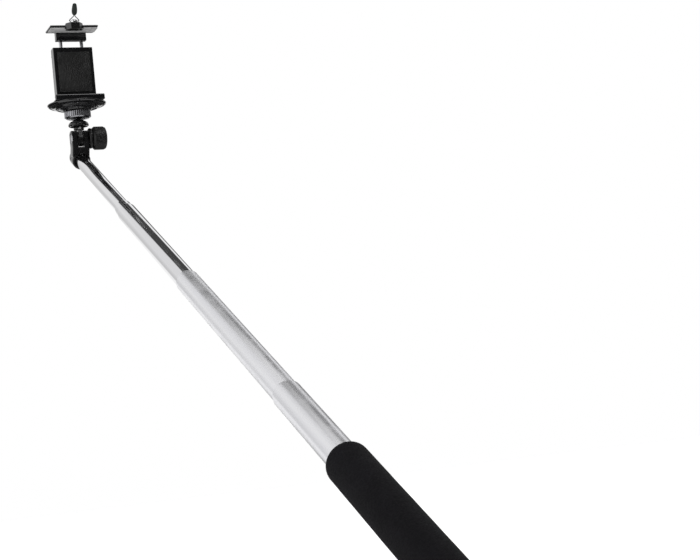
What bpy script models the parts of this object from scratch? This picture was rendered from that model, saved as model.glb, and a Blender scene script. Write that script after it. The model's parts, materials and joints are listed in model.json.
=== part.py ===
"""Telescopic hand stick with a tilting head and a sprung phone clamp.

World frame, metres: the origin is the middle of the hand grip, +Z is the clamp's post, +X is the
long side of the phone and the side of the knob, and -Y is the side that the user looks at.
The stick slopes down from the head towards -Y.
"""
import math

import bmesh
import bpy
from mathutils import Matrix, Vector

mm = 0.001
GAP = 0.3 * mm             # between pieces that touch on the real object
RUN = 0.1 * mm             # radial clearance of round pieces that slide or turn
ROUND = 32                 # sides of a large round piece
SMALL = 16                 # sides of a small round piece
SCREW = 10                 # sides of a screw and of its hole
PHASE = math.radians(5)    # turns a hole's facets off those of the piece it is in

# Stick
SLOPE = math.radians(24.5)             # the stick below the horizontal
GRIP_LENGTH = 145 * mm
GRIP_RADIUS = 12.3 * mm
TUBE_RADII = {1: 5.8 * mm, 2: 6.6 * mm, 3: 7.4 * mm, 4: 8.2 * mm, 5: 9.0 * mm}
TUBE_WALL = 0.5 * mm
TUBE_LENGTHS = {2: 202 * mm, 3: 209 * mm, 4: 216 * mm, 5: 229.5 * mm}
SHOWN = {1: 146 * mm, 2: 11.5 * mm, 3: 169 * mm, 4: 203 * mm, 5: 91 * mm}
TUBE_1_BELOW_COLLAR = 195 * mm
LIP = 2.5 * mm                         # length of a tube's rolled mouth
BUSH_COLLAR = 5 * mm
BUSH_STUB = 4 * mm

# Elbow, in the stick's frame: s along the stick from the collar's rim, p square to it
COLLAR_RADIUS = 7.9 * mm
COLLAR_LENGTH = 15.5 * mm
SOCKET_DEPTH = 13 * mm
HINGE_S = 8 * mm
HINGE_P = 17.5 * mm

# Cheeks of the elbow, upright when the post is upright, measured from the hinge
CHEEK_TOP = 7.0 * mm                   # radius of the rounded top about the hinge
CHEEK_FRONT = -4.6 * mm
CHEEK_BACK = 5.2 * mm
CHEEK_LEFT = -7.8 * mm                 # outer face on the nut's side
CHEEK_RIGHT = 7.0 * mm                 # outer face on the knob's side
SLOT_HALF = 2.7 * mm
SLOT_FLOOR = -7.7 * mm
FLANGE_OUT = 10.0 * mm
FLANGE_RADIUS = 8.8 * mm
KNOB_IN = 10.3 * mm
KNOB_OUT = 22.3 * mm
KNOB_RADIUS = 10.0 * mm
STUD_RADIUS = 2.5 * mm
INSERT_RADIUS = 3.1 * mm               # threaded end of the knob's stud, inside the knob
INSERT_OUT = 17.0 * mm
NUT_FLAT = 4.0 * mm
NUT_THICK = 2.3 * mm
TONGUE_HALF = 1.6 * mm
TONGUE_RADIUS = 6.7 * mm

# Heights above the hinge, along the post
NECK_LOW = 7.3 * mm
NECK_TOP = 10.3 * mm
HUB_TOP = 13.6 * mm                    # boss of the neck, inside the cap
CAP_LOW = 10.6 * mm
CAP_TOP = 16.2 * mm
RING_LOW = 16.6 * mm
RING_TOP = 23.8 * mm
DISH_LOW = 24.1 * mm
DISH_TOP = 30.4 * mm
SHELF_LOW = 30.7 * mm
SHELF_TOP = 31.9 * mm
PHONE_LOW = 32.9 * mm
PHONE_TOP = 92.0 * mm
LIP_TOP = 35.4 * mm
SPINE_TOP = 79.0 * mm
JAW_LOW = 93.2 * mm
JAW_TOP = 94.9 * mm
HOOK_LOW = 90.4 * mm
HOOK_TOP = 96.5 * mm
PULL_PIVOT = 97.9 * mm
PULL_LEAN = math.radians(30)           # the pull leans forward

# Depths of the clamp, front to back
PHONE_FRONT = -15.3 * mm
JAW_FRONT = -18.3 * mm
HOOK_FRONT = -23.2 * mm
PULL_Y = -19.5 * mm
PHONE_BACK = -5.0 * mm
SPINE_FRONT = -4.0 * mm
SPINE_BACK = 4.1 * mm
COVER_BACK = 5.8 * mm
ROD_Y = 1.0 * mm
ROD_X = 9.0 * mm
ROD_RADIUS = 1.5 * mm
ROD_TOP = 93.0 * mm
STUD_LOW = 93.0 * mm                   # end of the pull stud's shank in the hook
STUD_DOME = 3.3 * mm                   # radius of the pull stud's dome, clear of the bail's legs

JAW_HALF = 20.6 * mm
SHELF_HALF = 21.0 * mm
SPINE_HALF = 17.0 * mm
DISH_RADIUS = 25.0 * mm
DISH_SCREW_X = 14.6 * mm
RING_RADIUS = 11.3 * mm
POST_RADIUS = 3.15 * mm                # quarter-inch camera thread
SHANK_RADIUS = 1.8 * mm                # the stud's end inside the hub
HUB_RADIUS = 4.0 * mm

COLOURS = {
    "chrome": ((0.80, 0.80, 0.81), 0.12, 1.0),
    "steel": ((0.62, 0.62, 0.63), 0.25, 1.0),
    "dark_nickel": ((0.22, 0.22, 0.23), 0.30, 1.0),
    "brass": ((0.72, 0.55, 0.26), 0.30, 1.0),
    "grip": ((0.030, 0.031, 0.034), 0.75, 0.0),
    "black_plastic": ((0.020, 0.020, 0.022), 0.42, 0.0),
    "gloss_black": ((0.012, 0.012, 0.013), 0.12, 0.0),
    "grey_rubber": ((0.20, 0.20, 0.20), 0.70, 0.0),
    "black_rubber": ((0.025, 0.025, 0.025), 0.80, 0.0),
    "white_plastic": ((0.75, 0.75, 0.72), 0.40, 0.0),
    "dipped_tab": ((0.045, 0.055, 0.050), 0.50, 0.0),
}


def clear_scene():
    for old in list(bpy.data.objects):
        bpy.data.objects.remove(old)


def material(name):
    found = bpy.data.materials.get(name)
    if found:
        return found
    colour, roughness, metallic = COLOURS[name]
    made = bpy.data.materials.new(name)
    made.use_nodes = True
    shader = made.node_tree.nodes["Principled BSDF"]
    shader.inputs["Base Color"].default_value = (*colour, 1)
    shader.inputs["Roughness"].default_value = roughness
    shader.inputs["Metallic"].default_value = metallic
    return made


def empty(name, parent=None, place=(0, 0, 0), turn=(0, 0, 0)):
    made = bpy.data.objects.new(name, None)
    bpy.context.collection.objects.link(made)
    made.parent = parent
    made.location = place
    made.rotation_euler = turn
    return made


def finish(name, bm, finish_name, parent, place=(0, 0, 0), turn=(0, 0, 0)):
    """Turns a bmesh into an object under its parent empty."""
    bmesh.ops.recalc_face_normals(bm, faces=bm.faces)
    mesh = bpy.data.meshes.new(name)
    bm.to_mesh(mesh)
    bm.free()
    mesh.shade_smooth()
    mesh.set_sharp_from_angle(angle=math.radians(35))
    made = bpy.data.objects.new(name, mesh)
    bpy.context.collection.objects.link(made)
    made.parent = parent
    made.location = place
    made.rotation_euler = turn
    if finish_name:
        mesh.materials.append(material(finish_name))
    return made


def turned(outline, sides):
    """A shape turned about Z from (radius, height) points: a ring, or a solid if it meets the axis."""
    bm = bmesh.new()
    points = [bm.verts.new((radius, 0, height)) for radius, height in outline]
    lines = [bm.edges.new(pair) for pair in zip(points, points[1:])]
    if outline[0][0] > 0:
        lines.append(bm.edges.new((points[-1], points[0])))
    bmesh.ops.spin(bm, geom=points + lines, cent=(0, 0, 0), axis=(0, 0, 1),
                   angle=math.tau, steps=sides, use_merge=True)
    bmesh.ops.remove_doubles(bm, verts=bm.verts, dist=1e-6)
    return bm


def ring(inner, outer, low, high, sides=SMALL):
    return turned([(inner, low), (outer, low), (outer, high), (inner, high)], sides)


def rod(radius, low, high, sides=SMALL):
    return out_of_phase(turned([(0, low), (radius, low), (radius, high), (0, high)], sides))


def out_of_phase(bm):
    bmesh.ops.rotate(bm, verts=bm.verts, matrix=Matrix.Rotation(PHASE, 3, "Z"))
    return bm


def block(low, high, rounding=0, steps=2):
    """A box from its low corner to its high corner, with its edges rounded."""
    bm = bmesh.new()
    bmesh.ops.create_cube(bm, size=1)
    for vert in bm.verts:
        vert.co = [a if side < 0 else b for side, a, b in zip(vert.co, low, high)]
    if rounding:
        bmesh.ops.bevel(bm, geom=list(bm.edges), offset=rounding, segments=steps,
                        profile=0.5, affect="EDGES")
    return bm


def plate(outline, low, high, normal="z", rounding=0):
    """An outline extruded along the named axis; its points are given on the other two axes."""
    def point(a, b, c):
        return {"x": (c, a, b), "y": (a, c, b), "z": (a, b, c)}[normal]
    bm = bmesh.new()
    face = bm.faces.new([bm.verts.new(point(a, b, low)) for a, b in outline])
    grown = bmesh.ops.extrude_face_region(bm, geom=[face])
    shift = Vector(point(0, 0, high - low))
    moved = [item for item in grown["geom"] if isinstance(item, bmesh.types.BMVert)]
    bmesh.ops.translate(bm, vec=shift, verts=moved)
    if rounding:
        rims = [edge for edge in bm.edges if edge.calc_length() > 0
                and abs((edge.verts[0].co - edge.verts[1].co).dot(shift)) < 1e-12]
        bmesh.ops.bevel(bm, geom=rims, offset=rounding, segments=2, profile=0.5, affect="EDGES")
    return bm


def arc(centre, radius, start, end, steps):
    """Points along an arc, angles in degrees."""
    angles = [math.radians(start + (end - start) * i / steps) for i in range(steps + 1)]
    return [(centre[0] + radius * math.cos(a), centre[1] + radius * math.sin(a)) for a in angles]


def boolean(base, other, operation):
    other.hide_render = True
    other.display_type = "WIRE"
    step = base.modifiers.new(other.name, "BOOLEAN")
    step.operation = operation
    step.solver = "EXACT"
    step.object = other


def cut(base, bm, place=(0, 0, 0), turn=(0, 0, 0)):
    cutter = finish(base.name + "_cutter", bm, None, base.parent, place, turn)
    boolean(base, cutter, "DIFFERENCE")


def fuse(base, bm, place=(0, 0, 0), turn=(0, 0, 0)):
    added = finish(base.name + "_part", bm, None, base.parent, place, turn)
    boolean(base, added, "UNION")


ALONG_X = (0, math.radians(90), 0)
ALONG_Y = (math.radians(-90), 0, 0)


# ---------------------------------------------------------------- handle and telescope

def mouth_places():
    """Distance of each tube's mouth from the grip's middle, along the stick."""
    places = {}
    reach = GRIP_LENGTH / 2
    for number in (5, 4, 3, 2, 1):
        reach += SHOWN[number]
        places[number] = reach
    return places


def make_grip(stick):
    half = GRIP_LENGTH / 2
    bore = TUBE_RADII[5] + GAP
    front = arc((GRIP_RADIUS - 3 * mm, half - 3 * mm), 3 * mm, 0, 80, 4)
    outline = [(bore, -half), (GRIP_RADIUS - 0.6 * mm, -half), (GRIP_RADIUS, -half + 0.8 * mm)]
    outline += front + [(bore, half)]
    finish("grip_sleeve", turned(outline, ROUND), "grip", stick)


def make_end_cap(stick):
    """Butt cap: a flange over the sleeve's end, a skirt inside the tube and a nose with a cross hole."""
    top = -GRIP_LENGTH / 2 - GAP
    outline = [(0, top - 10 * mm), (5.2 * mm, top - 10 * mm), (6.2 * mm, top - 9 * mm),
               (6.2 * mm, top - 5.2 * mm), (11.2 * mm, top - 4.6 * mm), (GRIP_RADIUS, top - 3.4 * mm),
               (GRIP_RADIUS, top), (TUBE_RADII[5] - TUBE_WALL - GAP, top),
               (TUBE_RADII[5] - TUBE_WALL - GAP, top + 4 * mm), (0, top + 4 * mm)]
    cap = finish("grip_end_cap", turned(outline, ROUND), "black_plastic", stick)
    cut(cap, rod(1.6 * mm, -9 * mm, 9 * mm), (0, 0, top - 7.2 * mm), ALONG_X)


def make_tube(number, mouth, length, stick):
    """A chrome tube with its rolled mouth, which runs on the next tube in."""
    outer = TUBE_RADII[number]
    bore = outer - TUBE_WALL
    tail = mouth - length
    if number == 1:
        outline = [(bore, tail), (outer, tail), (outer, mouth), (bore, mouth)]
    else:
        throat = TUBE_RADII[number - 1] + RUN
        outline = [(bore, tail), (outer, tail), (outer, mouth - 0.5 * mm), (outer - 0.35 * mm, mouth),
                   (throat, mouth), (throat, mouth - LIP), (bore, mouth - LIP - 0.5 * mm)]
    return finish("tube_%d" % number, turned(outline, ROUND), "chrome", stick)


def make_bush(number, tail, stick):
    """Plastic bush: a stub inside the tube's tail and a collar that rubs in the next tube out."""
    stub = TUBE_RADII[number] - TUBE_WALL - GAP
    collar = TUBE_RADII[number + 1] - TUBE_WALL - RUN
    hole = 2.0 * mm
    outline = [(hole, -BUSH_COLLAR - GAP), (collar - 0.4 * mm, -BUSH_COLLAR - GAP), (collar, -BUSH_COLLAR),
               (collar, -GAP), (stub, -GAP), (stub, BUSH_STUB), (hole, BUSH_STUB)]
    finish("friction_bush_%d" % number, turned(outline, 24), "white_plastic", stick, (0, 0, tail))


def make_telescope(stick):
    mouths = mouth_places()
    for number in (5, 4, 3, 2):
        make_tube(number, mouths[number], TUBE_LENGTHS[number], stick)
    rim = mouths[1]
    in_socket = SOCKET_DEPTH - GAP
    tube = make_tube(1, rim + in_socket, TUBE_1_BELOW_COLLAR + in_socket, stick)
    cut(tube, rod(1.3 * mm, -9 * mm, 9 * mm), (0, 0, rim + 7.5 * mm), ALONG_X)
    for number in (4, 3, 2):
        make_bush(number, mouths[number] - TUBE_LENGTHS[number], stick)
    make_bush(1, rim - TUBE_1_BELOW_COLLAR, stick)
    tail = mouths[5] - TUBE_LENGTHS[5]
    radius = TUBE_RADII[5] - TUBE_WALL - GAP
    finish("tube_plug", ring(2 * mm, radius, tail + 0.5 * mm, tail + 7.5 * mm), "white_plastic", stick)
    return rim


# ---------------------------------------------------------------- elbow and knob

def make_elbow(collar):
    """Moulded elbow: a collar on the tube and two cheeks square to it. The frame's -Y is p."""
    outline = [(0, COLLAR_LENGTH), (COLLAR_RADIUS - 3 * mm, COLLAR_LENGTH)]
    outline += arc((COLLAR_RADIUS - 3 * mm, COLLAR_LENGTH - 3 * mm), 3 * mm, 70, 0, 3)
    outline += [(COLLAR_RADIUS, 0.8 * mm), (COLLAR_RADIUS - 0.8 * mm, 0), (0, 0)]
    elbow = finish("elbow_clevis", turned(outline, ROUND), "black_plastic", collar)
    hinge = (0, -HINGE_P, HINGE_S)
    upright = (math.radians(90) - SLOPE, 0, 0)
    lean = math.degrees(math.asin(CHEEK_BACK / CHEEK_TOP)), math.degrees(math.asin(CHEEK_FRONT / CHEEK_TOP))
    side = arc((0, 0), CHEEK_TOP, 90 - lean[0], 90 - lean[1], 8)
    side += [(CHEEK_FRONT, -9.4 * mm), (-1.5 * mm, -16 * mm), (7 * mm, -14 * mm), (7.5 * mm, -11 * mm),
             (CHEEK_BACK, -7 * mm)]
    fuse(elbow, plate(side, CHEEK_LEFT, CHEEK_RIGHT, "x", 0.8 * mm), hinge, upright)
    slot = block((-SLOT_HALF, -20 * mm, SLOT_FLOOR), (SLOT_HALF, 20 * mm, 20 * mm))
    cut(elbow, slot, hinge, upright)
    cut(elbow, rod(TUBE_RADII[1] + GAP, -5 * mm, SOCKET_DEPTH, ROUND))
    cut(elbow, rod(STUD_RADIUS + RUN, -12 * mm, 12 * mm), hinge, ALONG_X)
    nut_floor = CHEEK_LEFT + NUT_THICK + 2 * GAP
    nut_hole = rod((NUT_FLAT + GAP) / math.cos(math.radians(30)), -12 * mm, nut_floor, 6)
    cut(elbow, nut_hole, hinge, ALONG_X)
    cut(elbow, rod(1.3 * mm, -9 * mm, 9 * mm), (0, 0, 7.5 * mm), ALONG_X)
    finish("collar_pin", rod(1.0 * mm, -7.6 * mm, 7.6 * mm, SCREW), "steel", collar,
           (0, 0, 7.5 * mm), ALONG_X)


def make_hinge_hardware(collar):
    hinge = (0, -HINGE_P, HINGE_S)
    low = CHEEK_LEFT + GAP
    corner = NUT_FLAT / math.cos(math.radians(30))
    nut = ring(STUD_RADIUS + RUN, corner, low, low + NUT_THICK, 6 * 4)
    square_up_hexagon(nut)
    finish("hinge_nut", out_of_phase(nut), "dark_nickel", collar, hinge, ALONG_X)
    for name, low, high in (("friction_washer_left", -2.4, -1.9), ("friction_washer_right", 1.9, 2.4)):
        finish(name, ring(STUD_RADIUS + RUN, 6.2 * mm, low * mm, high * mm), "white_plastic",
               collar, hinge, ALONG_X)
    inner = CHEEK_RIGHT + GAP
    flange = turned([(STUD_RADIUS + RUN, inner), (7.6 * mm, inner), (FLANGE_RADIUS, inner + 1.0 * mm),
                     (FLANGE_RADIUS, FLANGE_OUT - 0.5 * mm), (FLANGE_RADIUS - 0.6 * mm, FLANGE_OUT),
                     (STUD_RADIUS + RUN, FLANGE_OUT)], ROUND)
    finish("knob_flange", flange, "black_plastic", collar, hinge, ALONG_X)


def square_up_hexagon(bm):
    """Pulls a 24-sided ring's outer points in to the flats of a hexagon."""
    corner = NUT_FLAT / math.cos(math.radians(30))
    for vert in bm.verts:
        radius = math.hypot(vert.co.x, vert.co.y)
        if radius < STUD_RADIUS + 2 * RUN:
            continue
        angle = math.atan2(vert.co.y, vert.co.x) % math.radians(60) - math.radians(30)
        scale = NUT_FLAT / math.cos(angle) / corner
        vert.co.x *= scale
        vert.co.y *= scale


def make_knob(hinge):
    radius = KNOB_RADIUS
    outline = [(0, KNOB_IN), (radius - 1.7 * mm, KNOB_IN), (radius, KNOB_IN + 1.9 * mm),
               (radius, KNOB_OUT - 2.0 * mm), (radius - 0.6 * mm, KNOB_OUT - 0.6 * mm),
               (radius - 2.0 * mm, KNOB_OUT), (5.0 * mm, KNOB_OUT + 0.5 * mm), (0, KNOB_OUT + 0.7 * mm)]
    knob = finish("knob", turned(outline, ROUND), "black_plastic", hinge, turn=ALONG_X)
    cut(knob, rod(INSERT_RADIUS + GAP, KNOB_IN - 2 * mm, INSERT_OUT + GAP), turn=ALONG_X)
    tip = CHEEK_LEFT + GAP
    step = KNOB_IN + 0.6 * mm
    shank = [(0, tip), (STUD_RADIUS - 0.5 * mm, tip), (STUD_RADIUS, tip + 0.5 * mm), (STUD_RADIUS, step),
             (INSERT_RADIUS, step), (INSERT_RADIUS, INSERT_OUT), (0, INSERT_OUT)]
    finish("knob_stud", turned(shank, SMALL), "steel", hinge, turn=ALONG_X)


# ---------------------------------------------------------------- post, cap and ring

def make_post(post):
    """Tongue between the cheeks, a neck with a window through it, and the hub that holds the stud."""
    shoulder = NECK_LOW + 0.8 * mm
    disc = plate(arc((0, 0), TONGUE_RADIUS, 180, 360, 14) + [(4.6 * mm, shoulder), (-4.6 * mm, shoulder)],
                 -TONGUE_HALF, TONGUE_HALF, "x")
    tongue = finish("tilt_tongue", disc, "black_plastic", post)
    neck = [(0, NECK_LOW), (4.0 * mm, NECK_LOW), (4.6 * mm, NECK_LOW + 0.6 * mm),
            (4.3 * mm, NECK_TOP - 0.4 * mm), (HUB_RADIUS, NECK_TOP), (HUB_RADIUS, HUB_TOP), (0, HUB_TOP)]
    fuse(tongue, turned(neck, SMALL))
    cut(tongue, rod(STUD_RADIUS + RUN, -4 * mm, 4 * mm), turn=ALONG_X)
    shank_low = NECK_TOP + 0.9 * mm
    cut(tongue, rod(SHANK_RADIUS + GAP, shank_low - GAP, HUB_TOP + 2 * mm))
    sill = NECK_LOW + 0.7 * mm
    lintel = NECK_TOP - 0.15 * mm
    window = [(-1.5 * mm, sill), (1.5 * mm, sill), (0.5 * mm, lintel), (-0.5 * mm, lintel)]
    cut(tongue, plate(window, -8 * mm, 8 * mm, "y"))
    top = DISH_TOP - 0.6 * mm
    shank = [(0, shank_low), (SHANK_RADIUS, shank_low), (SHANK_RADIUS, HUB_TOP + GAP),
             (POST_RADIUS, HUB_TOP + GAP), (POST_RADIUS, top - 0.7 * mm),
             (POST_RADIUS - 0.7 * mm, top), (0, top)]
    finish("mount_stud", turned(shank, SMALL), "steel", post)


def make_cap(post):
    bore = POST_RADIUS + GAP
    brim = 8.75 * mm
    sweep = [math.radians(angle) for angle in (0, 20, 40, 60, 80)]
    flare = [(bore + 0.9 * mm + (brim - bore - 0.9 * mm) * math.cos(a), 11.3 * mm + 3.9 * mm * math.sin(a))
             for a in sweep]
    hub_bore = HUB_RADIUS + GAP
    outline = [(hub_bore, CAP_LOW + 1.0 * mm), (5.5 * mm, CAP_LOW + 0.9 * mm), (7.6 * mm, CAP_LOW),
               (8.4 * mm, CAP_LOW)] + flare
    outline += [(bore + 0.9 * mm, CAP_TOP), (bore, CAP_TOP), (bore, HUB_TOP + GAP), (hub_bore, HUB_TOP + GAP)]
    finish("umbrella_cap", turned(outline, ROUND), "gloss_black", post)


def make_ring(post):
    bore = POST_RADIUS + RUN
    outline = [(bore, RING_LOW), (5.6 * mm, RING_LOW), (6.2 * mm, RING_LOW + 0.6 * mm),
               (RING_RADIUS - 1.4 * mm, 17.6 * mm), (RING_RADIUS, 18.5 * mm),
               (RING_RADIUS, RING_TOP - 0.8 * mm), (RING_RADIUS - 0.8 * mm, RING_TOP), (bore, RING_TOP)]
    finish("lock_ring", turned(outline, ROUND), "dark_nickel", post)


# ---------------------------------------------------------------- clamp

def make_dish(post):
    """Round dish under the clamp, with two stepped rings below and a brass thread in its hub."""
    hub = 5.9 * mm
    outline = [(hub, DISH_LOW), (11.5 * mm, DISH_LOW), (12.3 * mm, DISH_LOW + 0.8 * mm),
               (16.5 * mm, DISH_LOW + 2.2 * mm), (17.0 * mm, DISH_LOW + 1.7 * mm),
               (18.4 * mm, DISH_LOW + 2.2 * mm), (18.8 * mm, DISH_LOW + 3.1 * mm),
               (DISH_RADIUS - 1.0 * mm, DISH_TOP - 1.7 * mm), (DISH_RADIUS, DISH_TOP - 1.1 * mm),
               (DISH_RADIUS, DISH_TOP - 0.3 * mm), (DISH_RADIUS - 0.4 * mm, DISH_TOP), (hub, DISH_TOP)]
    dish = finish("base_dish", turned(outline, ROUND), "gloss_black", post)
    insert = ring(POST_RADIUS + RUN, hub - GAP, DISH_LOW + 0.2 * mm, DISH_TOP - 0.3 * mm)
    finish("dish_insert", insert, "brass", post)
    seat = DISH_LOW + 2.9 * mm
    hole = [(0, DISH_LOW - 3 * mm), (2.5 * mm, DISH_LOW - 3 * mm), (2.5 * mm, seat), (1.5 * mm, seat),
            (1.5 * mm, DISH_TOP + 3 * mm), (0, DISH_TOP + 3 * mm)]
    for side, x in (("left", -DISH_SCREW_X), ("right", DISH_SCREW_X)):
        cut(dish, out_of_phase(turned(hole, SCREW)), (x, 0, 0))
        make_screw("dish_screw_" + side, post, (x, 0, seat - GAP), 4.6 * mm, 1.1 * mm, (0, 0, 0))


def make_screw(name, parent, place, length, head, turn):
    """Pan-head screw, its shank along +Z from under the head."""
    outline = [(0, -head), (1.4 * mm, -head), (1.8 * mm, 0), (0.9 * mm, 0), (0.9 * mm, length),
               (0, length)]
    finish(name, turned(outline, SCREW), "dark_nickel", parent, place, turn)


def make_lower_jaw(post):
    """Shelf, front lip and hollow spine in one moulding; the spine is open behind, under its cover."""
    low = (-SHELF_HALF, JAW_FRONT, SHELF_LOW)
    jaw = finish("lower_jaw", block(low, (SHELF_HALF, SPINE_BACK, SHELF_TOP)), "gloss_black", post)
    lip_low = (-SHELF_HALF, JAW_FRONT, SHELF_LOW)
    fuse(jaw, block(lip_low, (SHELF_HALF, PHONE_FRONT, LIP_TOP), 0.8 * mm))
    fuse(jaw, block((-SPINE_HALF, SPINE_FRONT, SHELF_LOW), (SPINE_HALF, SPINE_BACK, SPINE_TOP)))
    pocket_low = (-13.4 * mm, SPINE_FRONT + 1.8 * mm, SHELF_LOW + 3 * mm)
    cut(jaw, block(pocket_low, (13.4 * mm, 12 * mm, SPINE_TOP - 4 * mm)))
    for x in (-ROD_X, ROD_X):
        cut(jaw, rod(ROD_RADIUS + RUN, SPINE_TOP - 8 * mm, SPINE_TOP + 8 * mm), (x, ROD_Y, 0))
    for x in (-DISH_SCREW_X, DISH_SCREW_X):
        cut(jaw, rod(1.2 * mm, 20 * mm, SHELF_LOW + 2.2 * mm, SCREW), (x, 0, 0))
    for x, z in cover_screw_places():
        cut(jaw, rod(1.2 * mm, 0, 30 * mm, SCREW), (x, SPINE_BACK - 4.5 * mm, z), ALONG_Y)


def cover_screw_places():
    return [(x, z) for z in (38 * mm, 73 * mm) for x in (-15.2 * mm, 15.2 * mm)]


def make_cover(post):
    low = (-SPINE_HALF, SPINE_BACK + GAP, SHELF_LOW)
    cover = finish("spine_cover", block(low, (SPINE_HALF, COVER_BACK, SPINE_TOP), 0.5 * mm, 1),
                   "black_plastic", post)
    for number, (x, z) in enumerate(cover_screw_places(), 1):
        cut(cover, rod(1.2 * mm, -6 * mm, 6 * mm, SCREW), (x, COVER_BACK, z), ALONG_Y)
        turn = (math.radians(90), 0, 0)
        make_screw("cover_screw_%d" % number, post, (x, COVER_BACK + GAP, z), 5 * mm, 1.0 * mm, turn)


def make_pads(post):
    """Rubber pads where the phone touches: shelf, spine and upper jaw."""
    lower = block((-SHELF_HALF + 1.5 * mm, PHONE_FRONT + GAP, SHELF_TOP + GAP),
                  (SHELF_HALF - 1.5 * mm, SPINE_FRONT - 1.3 * mm, PHONE_LOW), 0.25 * mm, 1)
    finish("lower_pad", lower, "black_rubber", post)
    back = block((-14 * mm, PHONE_BACK, 40 * mm), (14 * mm, SPINE_FRONT - GAP, 75 * mm), 0.25 * mm, 1)
    finish("back_pad", back, "black_rubber", post)
    upper = block((-JAW_HALF + 0.4 * mm, JAW_FRONT + 0.5 * mm, PHONE_TOP),
                  (JAW_HALF - 0.4 * mm, -3 * mm, JAW_LOW - GAP), 0.25 * mm, 1)
    pad = finish("upper_pad", upper, "grey_rubber", post)
    cut(pad, block((-7.9 * mm, -25 * mm, 89 * mm), (7.9 * mm, PHONE_FRONT + 0.2 * mm, 96 * mm)))


def make_upper_jaw(post):
    """Sliding jaw: plate, front hook with flared sides, and rear boss that carries the rods."""
    plate_low = (-JAW_HALF, JAW_FRONT, JAW_LOW)
    jaw = finish("upper_jaw", block(plate_low, (JAW_HALF, SPINE_BACK, JAW_TOP), 0.6 * mm),
                 "black_plastic", post)
    back = PHONE_FRONT - 0.1 * mm
    hook = [(-3.6 * mm, HOOK_FRONT), (3.6 * mm, HOOK_FRONT), (7.3 * mm, JAW_FRONT), (7.3 * mm, back),
            (-7.3 * mm, back), (-7.3 * mm, JAW_FRONT)]
    fuse(jaw, plate(hook, HOOK_LOW, HOOK_TOP, "z", 0.5 * mm))
    boss_low = (-13 * mm, -2.4 * mm, SPINE_TOP + 6.6 * mm)
    fuse(jaw, block(boss_low, (13 * mm, SPINE_BACK - 0.2 * mm, JAW_TOP - 0.4 * mm)))
    for x in (-ROD_X, ROD_X):
        cut(jaw, rod(ROD_RADIUS + GAP, SPINE_TOP, ROD_TOP + GAP), (x, ROD_Y, 0))
    cut(jaw, rod(1.3 * mm, STUD_LOW - GAP, HOOK_TOP + 5 * mm, SCREW), (0, PULL_Y, 0))


def make_rods_and_springs(post):
    low = 39.2 * mm
    clip_top = low + 2.2 * mm
    for side, x in (("left", -ROD_X), ("right", ROD_X)):
        spot = (x, ROD_Y, 0)
        outline = [(0, low), (ROD_RADIUS, low), (ROD_RADIUS, low + 0.9 * mm),
                   (ROD_RADIUS - 0.5 * mm, low + 0.9 * mm), (ROD_RADIUS - 0.5 * mm, clip_top + 0.3 * mm),
                   (ROD_RADIUS, clip_top + 0.3 * mm), (ROD_RADIUS, ROD_TOP), (0, ROD_TOP)]
        finish("guide_rod_" + side, turned(outline, SMALL), "steel", post, spot)
        clip = ring(ROD_RADIUS - 0.2 * mm, 2.9 * mm, clip_top - 0.9 * mm, clip_top)
        finish("rod_clip_" + side, clip, "steel", post, spot)
        make_spring("jaw_spring_" + side, post, spot, clip_top + GAP, SPINE_TOP - 4 * mm - GAP)


def make_spring(name, parent, place, low, high):
    """Compression spring: a wire helix round the rod."""
    wire = 0.3 * mm
    coil = 2.25 * mm
    turns = 7
    per_turn = 9
    curve = bpy.data.curves.new(name, "CURVE")
    curve.dimensions = "3D"
    curve.bevel_depth = wire
    curve.bevel_resolution = 0
    curve.use_fill_caps = True
    line = curve.splines.new("POLY")
    count = turns * per_turn + 1
    line.points.add(count - 1)
    bottom = low + 1.3 * wire
    rise = (high - low - 2.6 * wire) / (count - 1)
    for i in range(count):
        angle = math.tau * i / per_turn
        line.points[i].co = (coil * math.cos(angle), coil * math.sin(angle), bottom + rise * i, 1)
    curve.materials.append(material("steel"))
    spring = bpy.data.objects.new(name, curve)
    bpy.context.collection.objects.link(spring)
    spring.parent = parent
    spring.location = place


# ---------------------------------------------------------------- finger pull on the upper jaw

def make_pull_stud(post):
    spot = (0, PULL_Y, 0)
    seat = HOOK_TOP + GAP
    dome = [(STUD_DOME * math.cos(a), seat + 0.8 * mm + 1.9 * mm * math.sin(a))
            for a in [math.radians(18 * i) for i in range(5)]]
    outline = [(0, STUD_LOW), (1.0 * mm, STUD_LOW), (1.0 * mm, seat), (STUD_DOME - 0.1 * mm, seat)]
    outline += dome + [(0, seat + 2.7 * mm)]
    stud = finish("pull_stud", turned(outline, SMALL), "chrome", post, spot)
    for x in (-STUD_DOME, STUD_DOME):
        hole = rod(0.75 * mm, -1.5 * mm, 1.5 * mm, SCREW)
        cut(stud, hole, (x, PULL_Y, PULL_PIVOT), ALONG_X)


def make_pull_bail(pull):
    """One wire bent to a fork; its ends turn in the stud and its closed end is in the tab."""
    left = [(-2.6, 0), (-3.6, 0), (-4.0, 0.25), (-4.0, 0.9), (-0.5, 4.4), (-0.5, 8.5), (-0.3, 8.9)]
    route = left + [(-x, z) for x, z in reversed(left)]
    curve = bpy.data.curves.new("pull_bail", "CURVE")
    curve.dimensions = "3D"
    curve.bevel_depth = 0.4 * mm
    curve.bevel_resolution = 1
    curve.use_fill_caps = True
    line = curve.splines.new("POLY")
    line.points.add(len(route) - 1)
    for point, (x, z) in zip(line.points, route):
        point.co = (x * mm, 0, z * mm, 1)
    curve.materials.append(material("dark_nickel"))
    bail = bpy.data.objects.new("pull_bail", curve)
    bpy.context.collection.objects.link(bail)
    bail.parent = pull


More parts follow.
